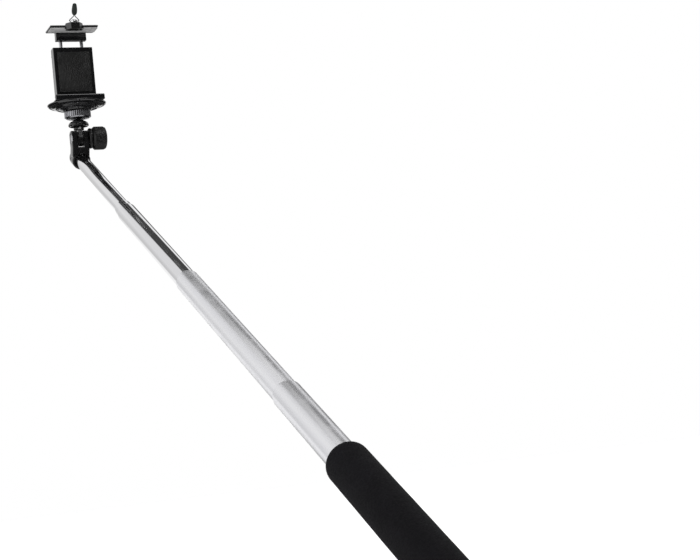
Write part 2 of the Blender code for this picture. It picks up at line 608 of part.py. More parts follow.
def make_pull_tab(pull):
    half = [(1.3, 5.0), (2.0, 6.2), (2.35, 8.2), (2.35, 11.2), (2.1, 13.9), (1.9, 15.6)]
    outline = half + [(-x, z) for x, z in reversed(half)]
    shape = plate([(x * mm, z * mm) for x, z in outline], -1.3 * mm, 1.3 * mm, "y", 0.4 * mm)
    tab = finish("pull_tab", shape, "dipped_tab", pull)
    cut(tab, block((-1.0 * mm, -0.7 * mm, 2 * mm), (1.0 * mm, 0.7 * mm, 9.8 * mm)))


def build():
    clear_scene()
    stick = empty("stick_axis", turn=(SLOPE - math.radians(90), 0, 0))
    make_grip(stick)
    make_end_cap(stick)
    rim = make_telescope(stick)
    collar = empty("collar_axis", stick, (0, 0, rim))
    make_elbow(collar)
    make_hinge_hardware(collar)
    along = Vector((0, math.cos(SLOPE), math.sin(SLOPE)))
    square = Vector((0, -math.sin(SLOPE), math.cos(SLOPE)))
    hinge = empty("hinge_axis", place=along * (rim + HINGE_S) + square * HINGE_P)
    make_knob(hinge)
    post = empty("post_axis", hinge)
    for make in (make_post, make_cap, make_ring, make_dish, make_lower_jaw, make_cover, make_pads,
                 make_upper_jaw, make_rods_and_springs, make_pull_stud):
        make(post)
    pull = empty("pull_axis", post, (0, PULL_Y, PULL_PIVOT), (PULL_LEAN, 0, 0))
    make_pull_bail(pull)
    make_pull_tab(pull)


build()
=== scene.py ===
# %% [markdown]
# # A telescopic hand stick with a sprung phone clamp
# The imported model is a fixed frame: every piece below takes its place from it. The stick slopes away
# from the viewer, with a foam grip near by and a tilting head with a phone clamp at the far end.
# Most pieces are made again here with a finer surface, and each stands for its plain solid.

# %% Load the frame
import json
import math

import bmesh
import bpy
from mathutils import Matrix, Vector


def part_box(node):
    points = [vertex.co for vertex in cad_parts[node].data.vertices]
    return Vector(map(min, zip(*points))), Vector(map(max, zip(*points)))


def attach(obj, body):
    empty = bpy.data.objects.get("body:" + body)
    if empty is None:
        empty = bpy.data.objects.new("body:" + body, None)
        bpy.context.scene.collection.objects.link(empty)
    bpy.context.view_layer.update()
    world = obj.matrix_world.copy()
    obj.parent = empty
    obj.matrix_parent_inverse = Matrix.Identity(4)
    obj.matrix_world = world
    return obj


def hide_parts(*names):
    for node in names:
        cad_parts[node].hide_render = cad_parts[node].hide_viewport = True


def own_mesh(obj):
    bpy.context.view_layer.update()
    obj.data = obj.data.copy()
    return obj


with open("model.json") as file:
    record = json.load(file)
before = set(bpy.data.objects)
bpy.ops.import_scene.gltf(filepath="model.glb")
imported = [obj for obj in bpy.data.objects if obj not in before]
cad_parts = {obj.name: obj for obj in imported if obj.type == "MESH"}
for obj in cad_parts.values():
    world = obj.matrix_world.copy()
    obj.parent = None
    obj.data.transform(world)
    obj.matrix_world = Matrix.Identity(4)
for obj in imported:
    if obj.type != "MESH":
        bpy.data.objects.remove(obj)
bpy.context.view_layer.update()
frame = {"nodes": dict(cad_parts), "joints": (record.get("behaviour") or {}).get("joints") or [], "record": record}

mm = 0.001
BODIES = frame["record"]["behaviour"]["bodies"]
BODY_OF = {node: body for body, nodes in BODIES.items() for node in nodes}
JOINTS = {joint["name"]: joint for joint in frame["joints"]}

# %% [markdown]
# ## Four frames to model in
# A turned part is easiest to draw about the Z axis. So each group of pieces gets a matrix that carries
# its own Z axis to where it is on the stick. The matrices come from the joints: the tubes slide along
# the stick's axis, the head tilts about the hinge, and the finger pull folds about its wire's ends.

# %% Place matrices, worked out from the joints
ALONG = Vector(JOINTS["tube_1_slide"]["axis"]).normalized()
ACROSS = Vector((1, 0, 0))
HINGE_POINT = Vector(JOINTS["head_tilt"]["pos_m"])
PULL_LEAN = math.radians(30)


def frame_with(z_axis, x_axis, origin):
    """A matrix whose columns are x_axis, z cross x, z_axis and the origin."""
    turned_frame = Matrix((x_axis, z_axis.cross(x_axis), z_axis)).transposed().to_4x4()
    turned_frame.translation = origin
    return turned_frame


STICK = frame_with(ALONG, ACROSS, Vector((0, 0, 0)))
POST = Matrix.Translation(HINGE_POINT)
KNOB = frame_with(ACROSS, Vector((0, 0, -1)), HINGE_POINT)
PULL = Matrix.Translation(JOINTS["pull_fold"]["pos_m"]) @ Matrix.Rotation(PULL_LEAN, 4, "X")


def span(node, place, axis=2):
    """Where a CAD node starts and ends along one axis of a place matrix."""
    back = place.inverted()
    reach = [(back @ vert.co)[axis] for vert in frame["nodes"][node].data.vertices]
    return min(reach), max(reach)


def radius_of(node, place):
    """Largest distance of a CAD node's points from a place matrix's Z axis."""
    back = place.inverted()
    return max((back @ vert.co).xy.length for vert in frame["nodes"][node].data.vertices)


print("hinge at", [round(value / mm, 1) for value in HINGE_POINT], "mm")

# %% [markdown]
# ## Shader groups
# Some effects are on many finishes: finger smudges that change the gloss, the fine grain of a mould,
# and the fine lines that polishing leaves along a tube. Each is one node group with named sockets, put
# in a material with that material's own values, so that the look of wear stays the same all over.

# %% Helpers for node groups and materials


def new_group(name, inputs, outputs):
    """An empty shader group. Inputs are (name, type, default) and outputs are (name, type)."""
    group = bpy.data.node_groups.new(name, "ShaderNodeTree")
    for title, kind, default in inputs:
        socket = group.interface.new_socket(title, in_out="INPUT", socket_type="NodeSocket" + kind)
        if default is not None:
            socket.default_value = default
    for title, kind in outputs:
        group.interface.new_socket(title, in_out="OUTPUT", socket_type="NodeSocket" + kind)
    return group, group.nodes.new("NodeGroupInput"), group.nodes.new("NodeGroupOutput")


def noise(tree, vector, scale, detail=3.0, roughness=0.55):
    node = tree.nodes.new("ShaderNodeTexNoise")
    node.inputs["Detail"].default_value = detail
    node.inputs["Roughness"].default_value = roughness
    tree.links.new(vector, node.inputs["Vector"])
    if isinstance(scale, bpy.types.NodeSocket):
        tree.links.new(scale, node.inputs["Scale"])
    else:
        node.inputs["Scale"].default_value = scale
    return node.outputs["Fac"]


def remap(tree, value, low, high, to_low, to_high):
    """A smooth Map Range; the last two limits may be sockets."""
    node = tree.nodes.new("ShaderNodeMapRange")
    node.interpolation_type = "SMOOTHSTEP"
    tree.links.new(value, node.inputs["Value"])
    node.inputs["From Min"].default_value = low
    node.inputs["From Max"].default_value = high
    for title, limit in (("To Min", to_low), ("To Max", to_high)):
        if isinstance(limit, bpy.types.NodeSocket):
            tree.links.new(limit, node.inputs[title])
        else:
            node.inputs[title].default_value = limit
    return node.outputs["Result"]


def calculate(tree, operation, first, second):
    node = tree.nodes.new("ShaderNodeMath")
    node.operation = operation
    for slot_number, term in enumerate((first, second)):
        if isinstance(term, bpy.types.NodeSocket):
            tree.links.new(term, node.inputs[slot_number])
        else:
            node.inputs[slot_number].default_value = term
    return node.outputs[0]


def blend_colours(tree, factor, first, second):
    node = tree.nodes.new("ShaderNodeMix")
    node.data_type = "RGBA"
    tree.links.new(factor, node.inputs[0])
    for slot_number, colour in ((6, first), (7, second)):
        if isinstance(colour, bpy.types.NodeSocket):
            tree.links.new(colour, node.inputs[slot_number])
        else:
            node.inputs[slot_number].default_value = (*colour, 1)
    return node.outputs[2]


# %% Handling smudges


def smudge_group():
    """Roughness that is raised in soft patches, where fingers have been."""
    group, given, result = new_group(
        "handling_smudges",
        [("Vector", "Vector", None), ("Clean Roughness", "Float", 0.1), ("Smudged Roughness", "Float", 0.2)],
        [("Roughness", "Float"), ("Smudge", "Float")])
    patches = noise(group, given.outputs["Vector"], 55.0, 4.0, 0.6)
    prints = noise(group, given.outputs["Vector"], 420.0, 2.0)
    mixed = calculate(group, "ADD", patches, calculate(group, "MULTIPLY", prints, 0.25))
    smudge = remap(group, mixed, 0.55, 0.80, 0.0, 1.0)
    clean, smudged = given.outputs["Clean Roughness"], given.outputs["Smudged Roughness"]
    rough = remap(group, smudge, 0.0, 1.0, clean, smudged)
    group.links.new(rough, result.inputs["Roughness"])
    group.links.new(smudge, result.inputs["Smudge"])
    return group


def grain_group():
    """The fine pitted grain that a mould gives, as a height, with a slow tone for colour."""
    group, given, result = new_group(
        "mould_grain", [("Vector", "Vector", None), ("Grain Scale", "Float", 2500.0)],
        [("Height", "Float"), ("Tone", "Float")])
    fine = noise(group, given.outputs["Vector"], given.outputs["Grain Scale"], 2.0)
    slow = noise(group, given.outputs["Vector"], 90.0, 3.0)
    group.links.new(remap(group, fine, 0.35, 0.65, 0.0, 1.0), result.inputs["Height"])
    group.links.new(slow, result.inputs["Tone"])
    return group


def drawn_group():
    """Fine lines along the stick: noise that is stretched a hundredfold along the tube."""
    group, given, result = new_group(
        "drawn_lines", [("Vector", "Vector", None), ("Line Scale", "Float", 1500.0)],
        [("Lines", "Float"), ("Bands", "Float")])
    slant = group.nodes.new("ShaderNodeMapping")
    slant.vector_type = "TEXTURE"
    slant.inputs["Rotation"].default_value = STICK.to_euler()
    slant.inputs["Scale"].default_value = (1, 1, 100)
    group.links.new(given.outputs["Vector"], slant.inputs["Vector"])
    lines = noise(group, slant.outputs["Vector"], given.outputs["Line Scale"], 2.0)
    bands = noise(group, slant.outputs["Vector"], 260.0, 2.0)
    group.links.new(remap(group, lines, 0.3, 0.7, 0.0, 1.0), result.inputs["Lines"])
    group.links.new(bands, result.inputs["Bands"])
    return group


SMUDGES = smudge_group()
GRAIN = grain_group()
DRAWN = drawn_group()
print("shader groups:", SMUDGES.name, GRAIN.name, DRAWN.name)

# %% [markdown]
# ## Finishes
# A finish is more than a colour. Each material below mixes two close colours with a slow noise, takes
# its roughness from the smudge group and its bump from the grain or the drawn lines. All textures read
# Object coordinates, which stay with the piece when a joint moves it.

# %% Start a finish


def start_finish(name, metallic=0.0, coat=0.0, specular=0.5):
    finish = bpy.data.materials.new(name)
    finish.use_nodes = True
    tree = finish.node_tree
    shader = tree.nodes["Principled BSDF"]
    shader.inputs["Metallic"].default_value = metallic
    shader.inputs["Coat Weight"].default_value = coat
    shader.inputs["Specular IOR Level"].default_value = specular
    place = tree.nodes.new("ShaderNodeTexCoord").outputs["Object"]
    return finish, tree, shader, place


def use_group(tree, group, vector, **values):
    node = tree.nodes.new("ShaderNodeGroup")
    node.node_tree = group
    tree.links.new(vector, node.inputs["Vector"])
    for title, value in values.items():
        node.inputs[title.replace("_", " ")].default_value = value
    return node


def add_bump(tree, shader, height, distance, strength=1.0):
    bump = tree.nodes.new("ShaderNodeBump")
    bump.inputs["Strength"].default_value = strength
    bump.inputs["Distance"].default_value = distance
    tree.links.new(height, bump.inputs["Height"])
    tree.links.new(bump.outputs["Normal"], shader.inputs["Normal"])


# %% Polished tube


def tube_finish(name, clean, smudged, bright, dull, relief):
    """Chrome plate on a drawn tube: lines along it, and a few smudges from sliding it."""
    finish, tree, shader, place = start_finish(name, metallic=1.0)
    lines = use_group(tree, DRAWN, place, Line_Scale=1900.0)
    smudge = use_group(tree, SMUDGES, place, Clean_Roughness=clean, Smudged_Roughness=smudged)
    tone = remap(tree, lines.outputs["Bands"], 0.35, 0.65, 0.0, 1.0)
    tree.links.new(blend_colours(tree, tone, bright, dull), shader.inputs["Base Color"])
    rough = calculate(tree, "ADD", smudge.outputs["Roughness"],
                      calculate(tree, "MULTIPLY", lines.outputs["Lines"], 0.03))
    tree.links.new(rough, shader.inputs["Roughness"])
    add_bump(tree, shader, lines.outputs["Lines"], 0.002 * mm, relief)
    return finish


# %% Moulded, rubber and metal finishes


def moulded_finish(name, light, dark, clean, smudged, grain, depth, coat=0.0, metallic=0.0,
                   specular=0.5):
    """A solid material with a grain from its mould or its turning, and smudges over it."""
    finish, tree, shader, place = start_finish(name, metallic=metallic, coat=coat, specular=specular)
    surface = use_group(tree, GRAIN, place, Grain_Scale=grain)
    smudge = use_group(tree, SMUDGES, place, Clean_Roughness=clean, Smudged_Roughness=smudged)
    tone = remap(tree, surface.outputs["Tone"], 0.3, 0.7, 0.0, 1.0)
    tree.links.new(blend_colours(tree, tone, dark, light), shader.inputs["Base Color"])
    tree.links.new(smudge.outputs["Roughness"], shader.inputs["Roughness"])
    if coat:
        shader.inputs["Coat Roughness"].default_value = 0.04
    add_bump(tree, shader, surface.outputs["Height"], depth)
    return finish


def foam_finish():
    """Cut foam rubber: cells of two sizes, a dusty bloom on the high spots and no gloss."""
    finish, tree, shader, place = start_finish("grip_foam", specular=0.10)
    cells = tree.nodes.new("ShaderNodeTexVoronoi")
    cells.inputs["Scale"].default_value = 2600.0
    tree.links.new(place, cells.inputs["Vector"])
    wide = noise(tree, place, 900.0, 3.0)
    slow = noise(tree, place, 60.0, 3.0)
    pits = remap(tree, cells.outputs["Distance"], 0.05, 0.55, 0.0, 1.0)
    height = calculate(tree, "ADD", pits, wide)
    bloom = calculate(tree, "MULTIPLY", remap(tree, slow, 0.35, 0.7, 0.5, 1.0), pits)
    tree.links.new(blend_colours(tree, bloom, (0.0013, 0.0012, 0.0017), (0.0050, 0.0046, 0.0062)),
                   shader.inputs["Base Color"])
    tree.links.new(remap(tree, wide, 0.3, 0.7, 0.72, 0.88), shader.inputs["Roughness"])
    shader.inputs["Sheen Weight"].default_value = 0.006
    shader.inputs["Sheen Roughness"].default_value = 0.5
    add_bump(tree, shader, height, 0.05 * mm, 0.8)
    return finish


FINISHES = {
    "grip_foam": foam_finish(),
    "chrome": tube_finish("polished_chrome", 0.045, 0.09, (0.86, 0.86, 0.87), (0.80, 0.80, 0.82), 0.5),
    "satin_chrome": tube_finish("satin_chrome", 0.27, 0.33, (0.90, 0.90, 0.92), (0.84, 0.84, 0.87), 0.15),
    "bright_dome": moulded_finish("bright_dome", (0.86, 0.86, 0.87), (0.80, 0.80, 0.82), 0.06, 0.12,
                                  3000.0, 0.002 * mm, metallic=1.0),
    "steel": moulded_finish("turned_steel", (0.62, 0.62, 0.63), (0.50, 0.50, 0.52), 0.24, 0.38,
                            2200.0, 0.006 * mm, metallic=1.0),
    "dark_nickel": moulded_finish("dark_nickel", (0.42, 0.42, 0.44), (0.29, 0.29, 0.31), 0.20, 0.32,
                                  2600.0, 0.008 * mm, metallic=1.0),
    "brass": moulded_finish("turned_brass", (0.74, 0.56, 0.27), (0.60, 0.43, 0.18), 0.24, 0.36,
                            2200.0, 0.006 * mm, metallic=1.0),
    "black_plastic": moulded_finish("black_moulding", (0.0085, 0.0082, 0.0080), (0.0045, 0.0044, 0.0046),
                                    0.36, 0.50, 2400.0, 0.018 * mm, specular=0.35),
    "smooth_black": moulded_finish("smooth_black_moulding", (0.0070, 0.0070, 0.0075),
                                   (0.0040, 0.0040, 0.0044), 0.18, 0.30, 1400.0, 0.006 * mm, coat=0.3),
    "gloss_black": moulded_finish("gloss_black_moulding", (0.0060, 0.0060, 0.0065), (0.0035, 0.0035, 0.0040),
                                  0.08, 0.16, 900.0, 0.002 * mm, coat=0.4),
    "grey_rubber": moulded_finish("grey_rubber", (0.36, 0.36, 0.36), (0.28, 0.28, 0.28), 0.62, 0.78,
                                  2000.0, 0.03 * mm),
    "black_rubber": moulded_finish("black_rubber", (0.013, 0.013, 0.013), (0.007, 0.007, 0.007),
                                   0.66, 0.82, 2000.0, 0.03 * mm),
    "white_plastic": moulded_finish("white_acetal", (0.76, 0.76, 0.73), (0.66, 0.66, 0.63), 0.34, 0.46,
                                    1800.0, 0.01 * mm),
    "dipped_tab": moulded_finish("dipped_coating", (0.028, 0.034, 0.030), (0.015, 0.019, 0.017),
                                 0.34, 0.50, 700.0, 0.02 * mm),
}
print("finishes:", ", ".join(FINISHES))

# %% [markdown]
# ## Making a turned part
# A lathe part is an outline turned about an axis. Real corners are never sharp, so the outline's
# corners are first rounded with short curves. The rings of points are then joined face by face, and
# an outline that meets the axis closes in a single point there.

# %% Round an outline's corners


def eased(outline, radius, steps=4):
    """The outline with each inner corner replaced by a curve that starts a radius before it."""
    result = [outline[0]]
    for before, corner, after in zip(outline, outline[1:], outline[2:]):
        before, corner, after = Vector(before), Vector(corner), Vector(after)
        reach_in = min(radius, 0.45 * (before - corner).length)
        reach_out = min(radius, 0.45 * (after - corner).length)
        start = corner + (before - corner).normalized() * reach_in
        end = corner + (after - corner).normalized() * reach_out
        for step in range(steps + 1):
            t = step / steps
            result.append(tuple(start * (1 - t) ** 2 + corner * 2 * t * (1 - t) + end * t * t))
    return result + [outline[-1]]


def turned(name, outline, sides=96):
    """A closed mesh from (radius, height) points: a ring, or a solid if both ends are on the axis."""
    bm = bmesh.new()
    rings = []
    for radius, height in outline:
        if radius < 1e-9:
            rings.append([bm.verts.new((0, 0, height))] * sides)
            continue
        angles = [math.tau * side / sides for side in range(sides)]
        rings.append([bm.verts.new((radius * math.cos(a), radius * math.sin(a), height)) for a in angles])
    pairs = list(zip(rings, rings[1:]))
    if outline[0][0] > 1e-9:
        pairs.append((rings[-1], rings[0]))
    for low, high in pairs:
        for side in range(sides):
            turn = (side + 1) % sides
            corners = [low[side], low[turn], high[turn], high[side]]
            distinct = list(dict.fromkeys(corners))
            if len(distinct) > 2:
                bm.faces.new(distinct)
    bmesh.ops.recalc_face_normals(bm, faces=bm.faces)
    return to_mesh(name, bm)


def to_mesh(name, bm, sharp=32):
    mesh = bpy.data.meshes.new(name)
    bm.to_mesh(mesh)
    bm.free()
    mesh.shade_smooth()
    mesh.set_sharp_from_angle(angle=math.radians(sharp))
    return mesh


# %% Put a finished mesh in the frame
made = {}


def place_piece(name, mesh, finish, nodes, place=None):
    """Carries a mesh to its place, and lets it stand for its CAD nodes on their body."""
    if place is not None:
        mesh.transform(place)
    mesh.materials.clear()
    mesh.materials.append(FINISHES[finish])
    piece = bpy.data.objects.new(name, mesh)
    bpy.context.scene.collection.objects.link(piece)
    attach(piece, BODY_OF[nodes[0]])
    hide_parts(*nodes)
    made[name] = piece
    return piece


def evaluated_mesh(name, draft):
    """The mesh that a draft object's modifiers give; the draft itself is removed."""
    bpy.context.scene.collection.objects.link(draft)
    graph = bpy.context.evaluated_depsgraph_get()
    graph.update()
    mesh = bpy.data.meshes.new_from_object(draft.evaluated_get(graph))
    mesh.name = name
    bpy.data.objects.remove(draft)
    return mesh


def drilled(mesh, cutters):
    """The mesh with each cutter mesh taken away from it."""
    name = mesh.name
    draft = bpy.data.objects.new(name + "_draft", mesh)
    tools = []
    for number, cutter in enumerate(cutters):
        tool = bpy.data.objects.new("%s_tool_%d" % (name, number), cutter)
        bpy.context.scene.collection.objects.link(tool)
        step = draft.modifiers.new(tool.name, "BOOLEAN")
        step.operation = "DIFFERENCE"
        step.object = tool
        tools.append(tool)
    result = evaluated_mesh(name, draft)
    for tool in tools:
        bpy.data.objects.remove(tool)
    result.shade_smooth()
    result.set_sharp_from_angle(angle=math.radians(32))
    return result


print("helpers ready: eased outlines, turned meshes, drilling")

# %% [markdown]
# ## Ribs round an axis, with Geometry Nodes
# The knurled ring, the knob and the dish all carry the same rib many times round. One node tree makes
# them: points on a circle, a short bar on each point, turned to face outwards, joined to the part that
# they stand on. Its inputs are the number of ribs and the sizes of one rib.

# %% Helpers that every node tree uses


def start_tree(name, inputs):
    """A Geometry Nodes tree with a geometry going in and out, and named inputs for its sizes."""
    tree = bpy.data.node_groups.new(name, "GeometryNodeTree")
    sockets = [("Geometry", "Geometry"), *inputs, ("Finish", "Material")]
    for title, kind in sockets:
        tree.interface.new_socket(title, in_out="INPUT", socket_type="NodeSocket" + kind)
    tree.interface.new_socket("Geometry", in_out="OUTPUT", socket_type="NodeSocketGeometry")
    return tree, tree.nodes.new("NodeGroupInput")


def add_node(tree, kind, **inputs):
    """A node whose inputs are given by title: a socket is linked and a plain value is set."""
    node = tree.nodes.new(kind)
    for title, value in inputs.items():
        socket = node.inputs[title.replace("_", " ")]
        if isinstance(value, bpy.types.NodeSocket):
            tree.links.new(value, socket)
        else:
            socket.default_value = value
    return node


def end_tree(tree, given, geometry):
    """Makes instances real, sets the finish and gives the result out."""
    real = add_node(tree, "GeometryNodeRealizeInstances", Geometry=geometry)
    dress = add_node(tree, "GeometryNodeSetMaterial", Geometry=real.outputs[0],
                     Material=given.outputs["Finish"])
    result = tree.nodes.new("NodeGroupOutput")
    tree.links.new(dress.outputs[0], result.inputs["Geometry"])
    return tree


# %% The rib tree


def rib_tree():
    tree, given = start_tree("ribs_round_axis", [
        ("Count", "Int"), ("Circle Radius", "Float"), ("Middle Height", "Float"),
        ("Rib Radius", "Float"), ("Rib Length", "Float"), ("Lean", "Float")])
    size = given.outputs
    circle = add_node(tree, "GeometryNodeMeshCircle", Vertices=size["Count"], Radius=size["Circle Radius"])
    rib = add_node(tree, "GeometryNodeMeshCylinder", Vertices=8, Radius=size["Rib Radius"],
                   Depth=size["Rib Length"])
    rib.fill_type = "TRIANGLE_FAN"
    number = tree.nodes.new("GeometryNodeInputIndex")
    angle = calculate(tree, "MULTIPLY", calculate(tree, "DIVIDE", number.outputs[0], size["Count"]), math.tau)
    turn = add_node(tree, "ShaderNodeCombineXYZ", Y=size["Lean"], Z=angle)
    spread = add_node(tree, "GeometryNodeInstanceOnPoints", Points=circle.outputs["Mesh"],
                      Instance=rib.outputs["Mesh"], Rotation=turn.outputs["Vector"])
    raise_by = add_node(tree, "ShaderNodeCombineXYZ", Z=size["Middle Height"])
    lift = add_node(tree, "GeometryNodeTransform", Geometry=spread.outputs["Instances"],
                    Translation=raise_by.outputs["Vector"])
    join = add_node(tree, "GeometryNodeJoinGeometry", Geometry=lift.outputs["Geometry"])
    tree.links.new(size["Geometry"], join.inputs["Geometry"])
    smooth = add_node(tree, "GeometryNodeSetShadeSmooth", Geometry=join.outputs["Geometry"])
    return end_tree(tree, given, smooth.outputs["Geometry"])


RIBS = rib_tree()


def through_tree(name, mesh, tree, values):
    """Runs a mesh through a node tree; values are set by each socket's identifier."""
    draft = bpy.data.objects.new(name + "_draft", mesh)
    step = draft.modifiers.new(tree.name, "NODES")
    step.node_group = tree
    identifiers = {item.name: item.identifier for item in tree.interface.items_tree
                   if item.in_out == "INPUT" and item.socket_type != "NodeSocketGeometry"}
    for title, value in values.items():
        step[identifiers[title]] = value
    return evaluated_mesh(name, draft)


def ribbed(mesh, finish, count, circle, middle, rib, length, lean=0.0):
    result = through_tree(mesh.name, mesh, RIBS, {
        "Count": count, "Circle Radius": circle, "Middle Height": middle, "Rib Radius": rib,
        "Rib Length": length, "Lean": lean, "Finish": FINISHES[finish]})
    result.set_sharp_from_angle(angle=math.radians(50))
    print(mesh.name, "has", count, "ribs and", len(result.polygons), "faces")
    return result


# %% [markdown]
# ## Foam grip
# The grip is a tube of cut foam rubber, stretched over the outer tube. It has no seams, a soft round
# front shoulder, and a surface that is never quite straight. A turned outline with many rings gives
# the shape, and a small wave moved into the points keeps its edge from looking machined.

# %% Grip and butt cap


def make_grip():
    low, high = span("grip_sleeve", STICK)
    outer = radius_of("grip_sleeve", STICK)
    bore = radius_of("tube_5", STICK) + 0.25 * mm
    rings = 70
    rounding = 4.5 * mm
    drop = outer - bore - 0.1 * mm
    body = [(outer, low + 1 * mm + (high - low - 1 * mm - rounding) * i / rings) for i in range(rings + 1)]
    outline = [(bore, low), (outer - 0.8 * mm, low), (outer - 0.2 * mm, low + 0.3 * mm)] + body
    for step in range(1, 13):
        angle = math.radians(90 * step / 12)
        outline.append((outer - drop * (1 - math.cos(angle)), high - rounding * (1 - math.sin(angle))))
    outline.append((bore, high))
    mesh = turned("grip_sleeve_foam", outline, 112)
    for vert in mesh.vertices:
        angle = math.atan2(vert.co.y, vert.co.x)
        wave = math.sin(vert.co.z / (9 * mm) + 2 * angle) + math.sin(vert.co.z / (4.1 * mm) - 3 * angle)
        pull = 1 - 0.0022 * (1 + wave / 2)
        vert.co.x *= pull
        vert.co.y *= pull
    grip = place_piece("grip_sleeve_foam", mesh, "grip_foam", ["grip_sleeve"], STICK)
    print("grip: %.0f mm long, %.1f mm across" % ((high - low) / mm, 2 * outer / mm))


def make_butt_cap():
    low, high = span("grip_end_cap", STICK)
    outer = radius_of("grip_end_cap", STICK)
    brim = low + 10 * mm
    outline = [(0, low), (5.2 * mm, low), (6.2 * mm, low + 1 * mm), (6.2 * mm, brim - 5.2 * mm),
               (11.2 * mm, brim - 4.6 * mm), (outer, brim - 3.4 * mm), (outer, brim),
               (8.2 * mm, brim), (8.2 * mm, high), (0, high)]
    mesh = turned("butt_cap", eased(outline, 0.6 * mm), 96)
    hole = turned("cord_hole", [(0, -9 * mm), (1.6 * mm, -9 * mm), (1.6 * mm, 9 * mm), (0, 9 * mm)], 32)
    hole.transform(Matrix.Translation((0, 0, low + 2.8 * mm)) @ Matrix.Rotation(math.radians(90), 4, "Y"))
    place_piece("butt_cap", drilled(mesh, [hole]), "black_plastic", ["grip_end_cap"], STICK)


make_grip()
make_butt_cap()

# %% [markdown]
# ## Telescopic tubes
# Five chromed tubes run in each other. Each mouth is rolled inwards, so that it grips the next tube:
# the outline steps in over the last 1.3 mm, and its corners are eased so that the rim
# catches a line of light. At each hidden tail a white acetal bush rubs in the next tube out.

# %% Tubes


def make_tube(number, finish):
    node = "tube_%d" % number
    low, high = span(node, STICK)
    outer = radius_of(node, STICK)
    bore = outer - 0.5 * mm
    if number == 1:
        outline = [(bore, low), (outer, low), (outer, high), (bore, high)]
    else:
        throat = radius_of("tube_%d" % (number - 1), STICK) + 0.1 * mm
        outline = [(bore, low), (outer, low), (outer, high - 1.3 * mm), (outer - 0.12 * mm, high - 0.6 * mm),
                   (outer - 0.45 * mm, high), (throat, high), (throat, high - 2.5 * mm),
                   (bore, high - 3.0 * mm)]
    mesh = turned("chrome_tube_%d" % number, eased(outline, 0.3 * mm, 3), 128)
    place_piece("chrome_tube_%d" % number, mesh, finish, [node], STICK)
    print(node, "is %.1f mm across and %.0f mm long" % (2 * outer / mm, (high - low) / mm))


for number in (1, 2, 3):
    make_tube(number, "chrome")
for number in (4, 5):
    make_tube(number, "satin_chrome")

# %% Bushes and the plug in the butt end


def make_bush(number):
    node = "friction_bush_%d" % number
    low, high = span(node, STICK)
    collar = radius_of(node, STICK)
    stub = radius_of("tube_%d" % number, STICK) - 0.8 * mm
    hole = 2.0 * mm
    groove = low + 2.6 * mm
    outline = [(hole, low), (collar - 0.4 * mm, low), (collar, low + 0.4 * mm), (collar, groove - 0.4 * mm),
               (collar - 0.3 * mm, groove), (collar, groove + 0.4 * mm), (collar, low + 5 * mm),
               (stub, low + 5 * mm), (stub, high), (hole, high)]
    mesh = turned("acetal_bush_%d" % number, eased(outline, 0.15 * mm, 2), 64)
    place_piece("acetal_bush_%d" % number, mesh, "white_plastic", [node], STICK)


def make_plug():
    low, high = span("tube_plug", STICK)
    outer = radius_of("tube_plug", STICK)
    outline = [(2 * mm, low), (outer - 0.3 * mm, low), (outer, low + 0.6 * mm), (outer, high), (2 * mm, high)]
    mesh = turned("acetal_plug", eased(outline, 0.15 * mm, 2), 64)
    place_piece("acetal_plug", mesh, "white_plastic", ["tube_plug"], STICK)


for number in (1, 2, 3, 4):
    make_bush(number)
make_plug()

# %% [markdown]
# ## Moulded parts with many corners
# The elbow, the tongue, the two jaws and the rear cover are injection mouldings with holes, slots and
# soft edges. Their solids already have the right shape, but knife-sharp edges. A voxel remesh of a
# merged copy gives an even skin, and a few smoothing steps then wear down every edge alike, as the
# small radius in a real mould does. A decimate step drops the faces that the flat parts don't need.

# %% Soften a copy of a CAD solid


def moulded_copy(name, node, voxel, smoothing, keep=0.5):
    bm = bmesh.new()
    bm.from_mesh(frame["nodes"][node].data)
    bmesh.ops.remove_doubles(bm, verts=bm.verts, dist=1e-6)
    mesh = bpy.data.meshes.new(name)
    bm.to_mesh(mesh)
    bm.free()
    draft = bpy.data.objects.new(name + "_draft", mesh)
    skin = draft.modifiers.new("even_skin", "REMESH")
    skin.mode = "VOXEL"
    skin.voxel_size = voxel
    skin.use_smooth_shade = True
    soften = draft.modifiers.new("soften_edges", "SMOOTH")
    soften.factor = 0.5
    soften.iterations = smoothing
    thin = draft.modifiers.new("drop_flat_faces", "DECIMATE")
    thin.ratio = keep
    result = evaluated_mesh(name, draft)
    result.shade_smooth()
    print(name, "has", len(result.polygons), "faces")
    return result


# %% Five mouldings
MOULDINGS = [                 # piece, CAD node, voxel, smoothing steps, share of faces kept, finish
    ("elbow_moulding", "elbow_clevis", 0.22, 4, 0.6, "smooth_black"),
    ("tongue_moulding", "tilt_tongue", 0.16, 4, 0.6, "smooth_black"),
    ("upper_jaw_moulding", "upper_jaw", 0.25, 3, 0.5, "smooth_black"),
    ("lower_jaw_moulding", "lower_jaw", 0.32, 3, 0.4, "gloss_black"),
    ("rear_cover_moulding", "spine_cover", 0.25, 3, 0.4, "black_plastic"),
]
for name, node, voxel, smoothing, keep, finish in MOULDINGS:
    mesh = moulded_copy(name, node, voxel * mm, smoothing, keep)
    place_piece(name, mesh, finish, [node])

# %% [markdown]
# ## Hinge hardware
# The knob's stud is the hinge pin: it goes through both cheeks and the tongue, and screws into a hex
# nut that sits in a pocket of the left cheek. Dark fibre washers on both sides of the tongue give the
# friction, and a round flange fills the gap between the right cheek and the knob.

# %% Nut, washers, flange and pins


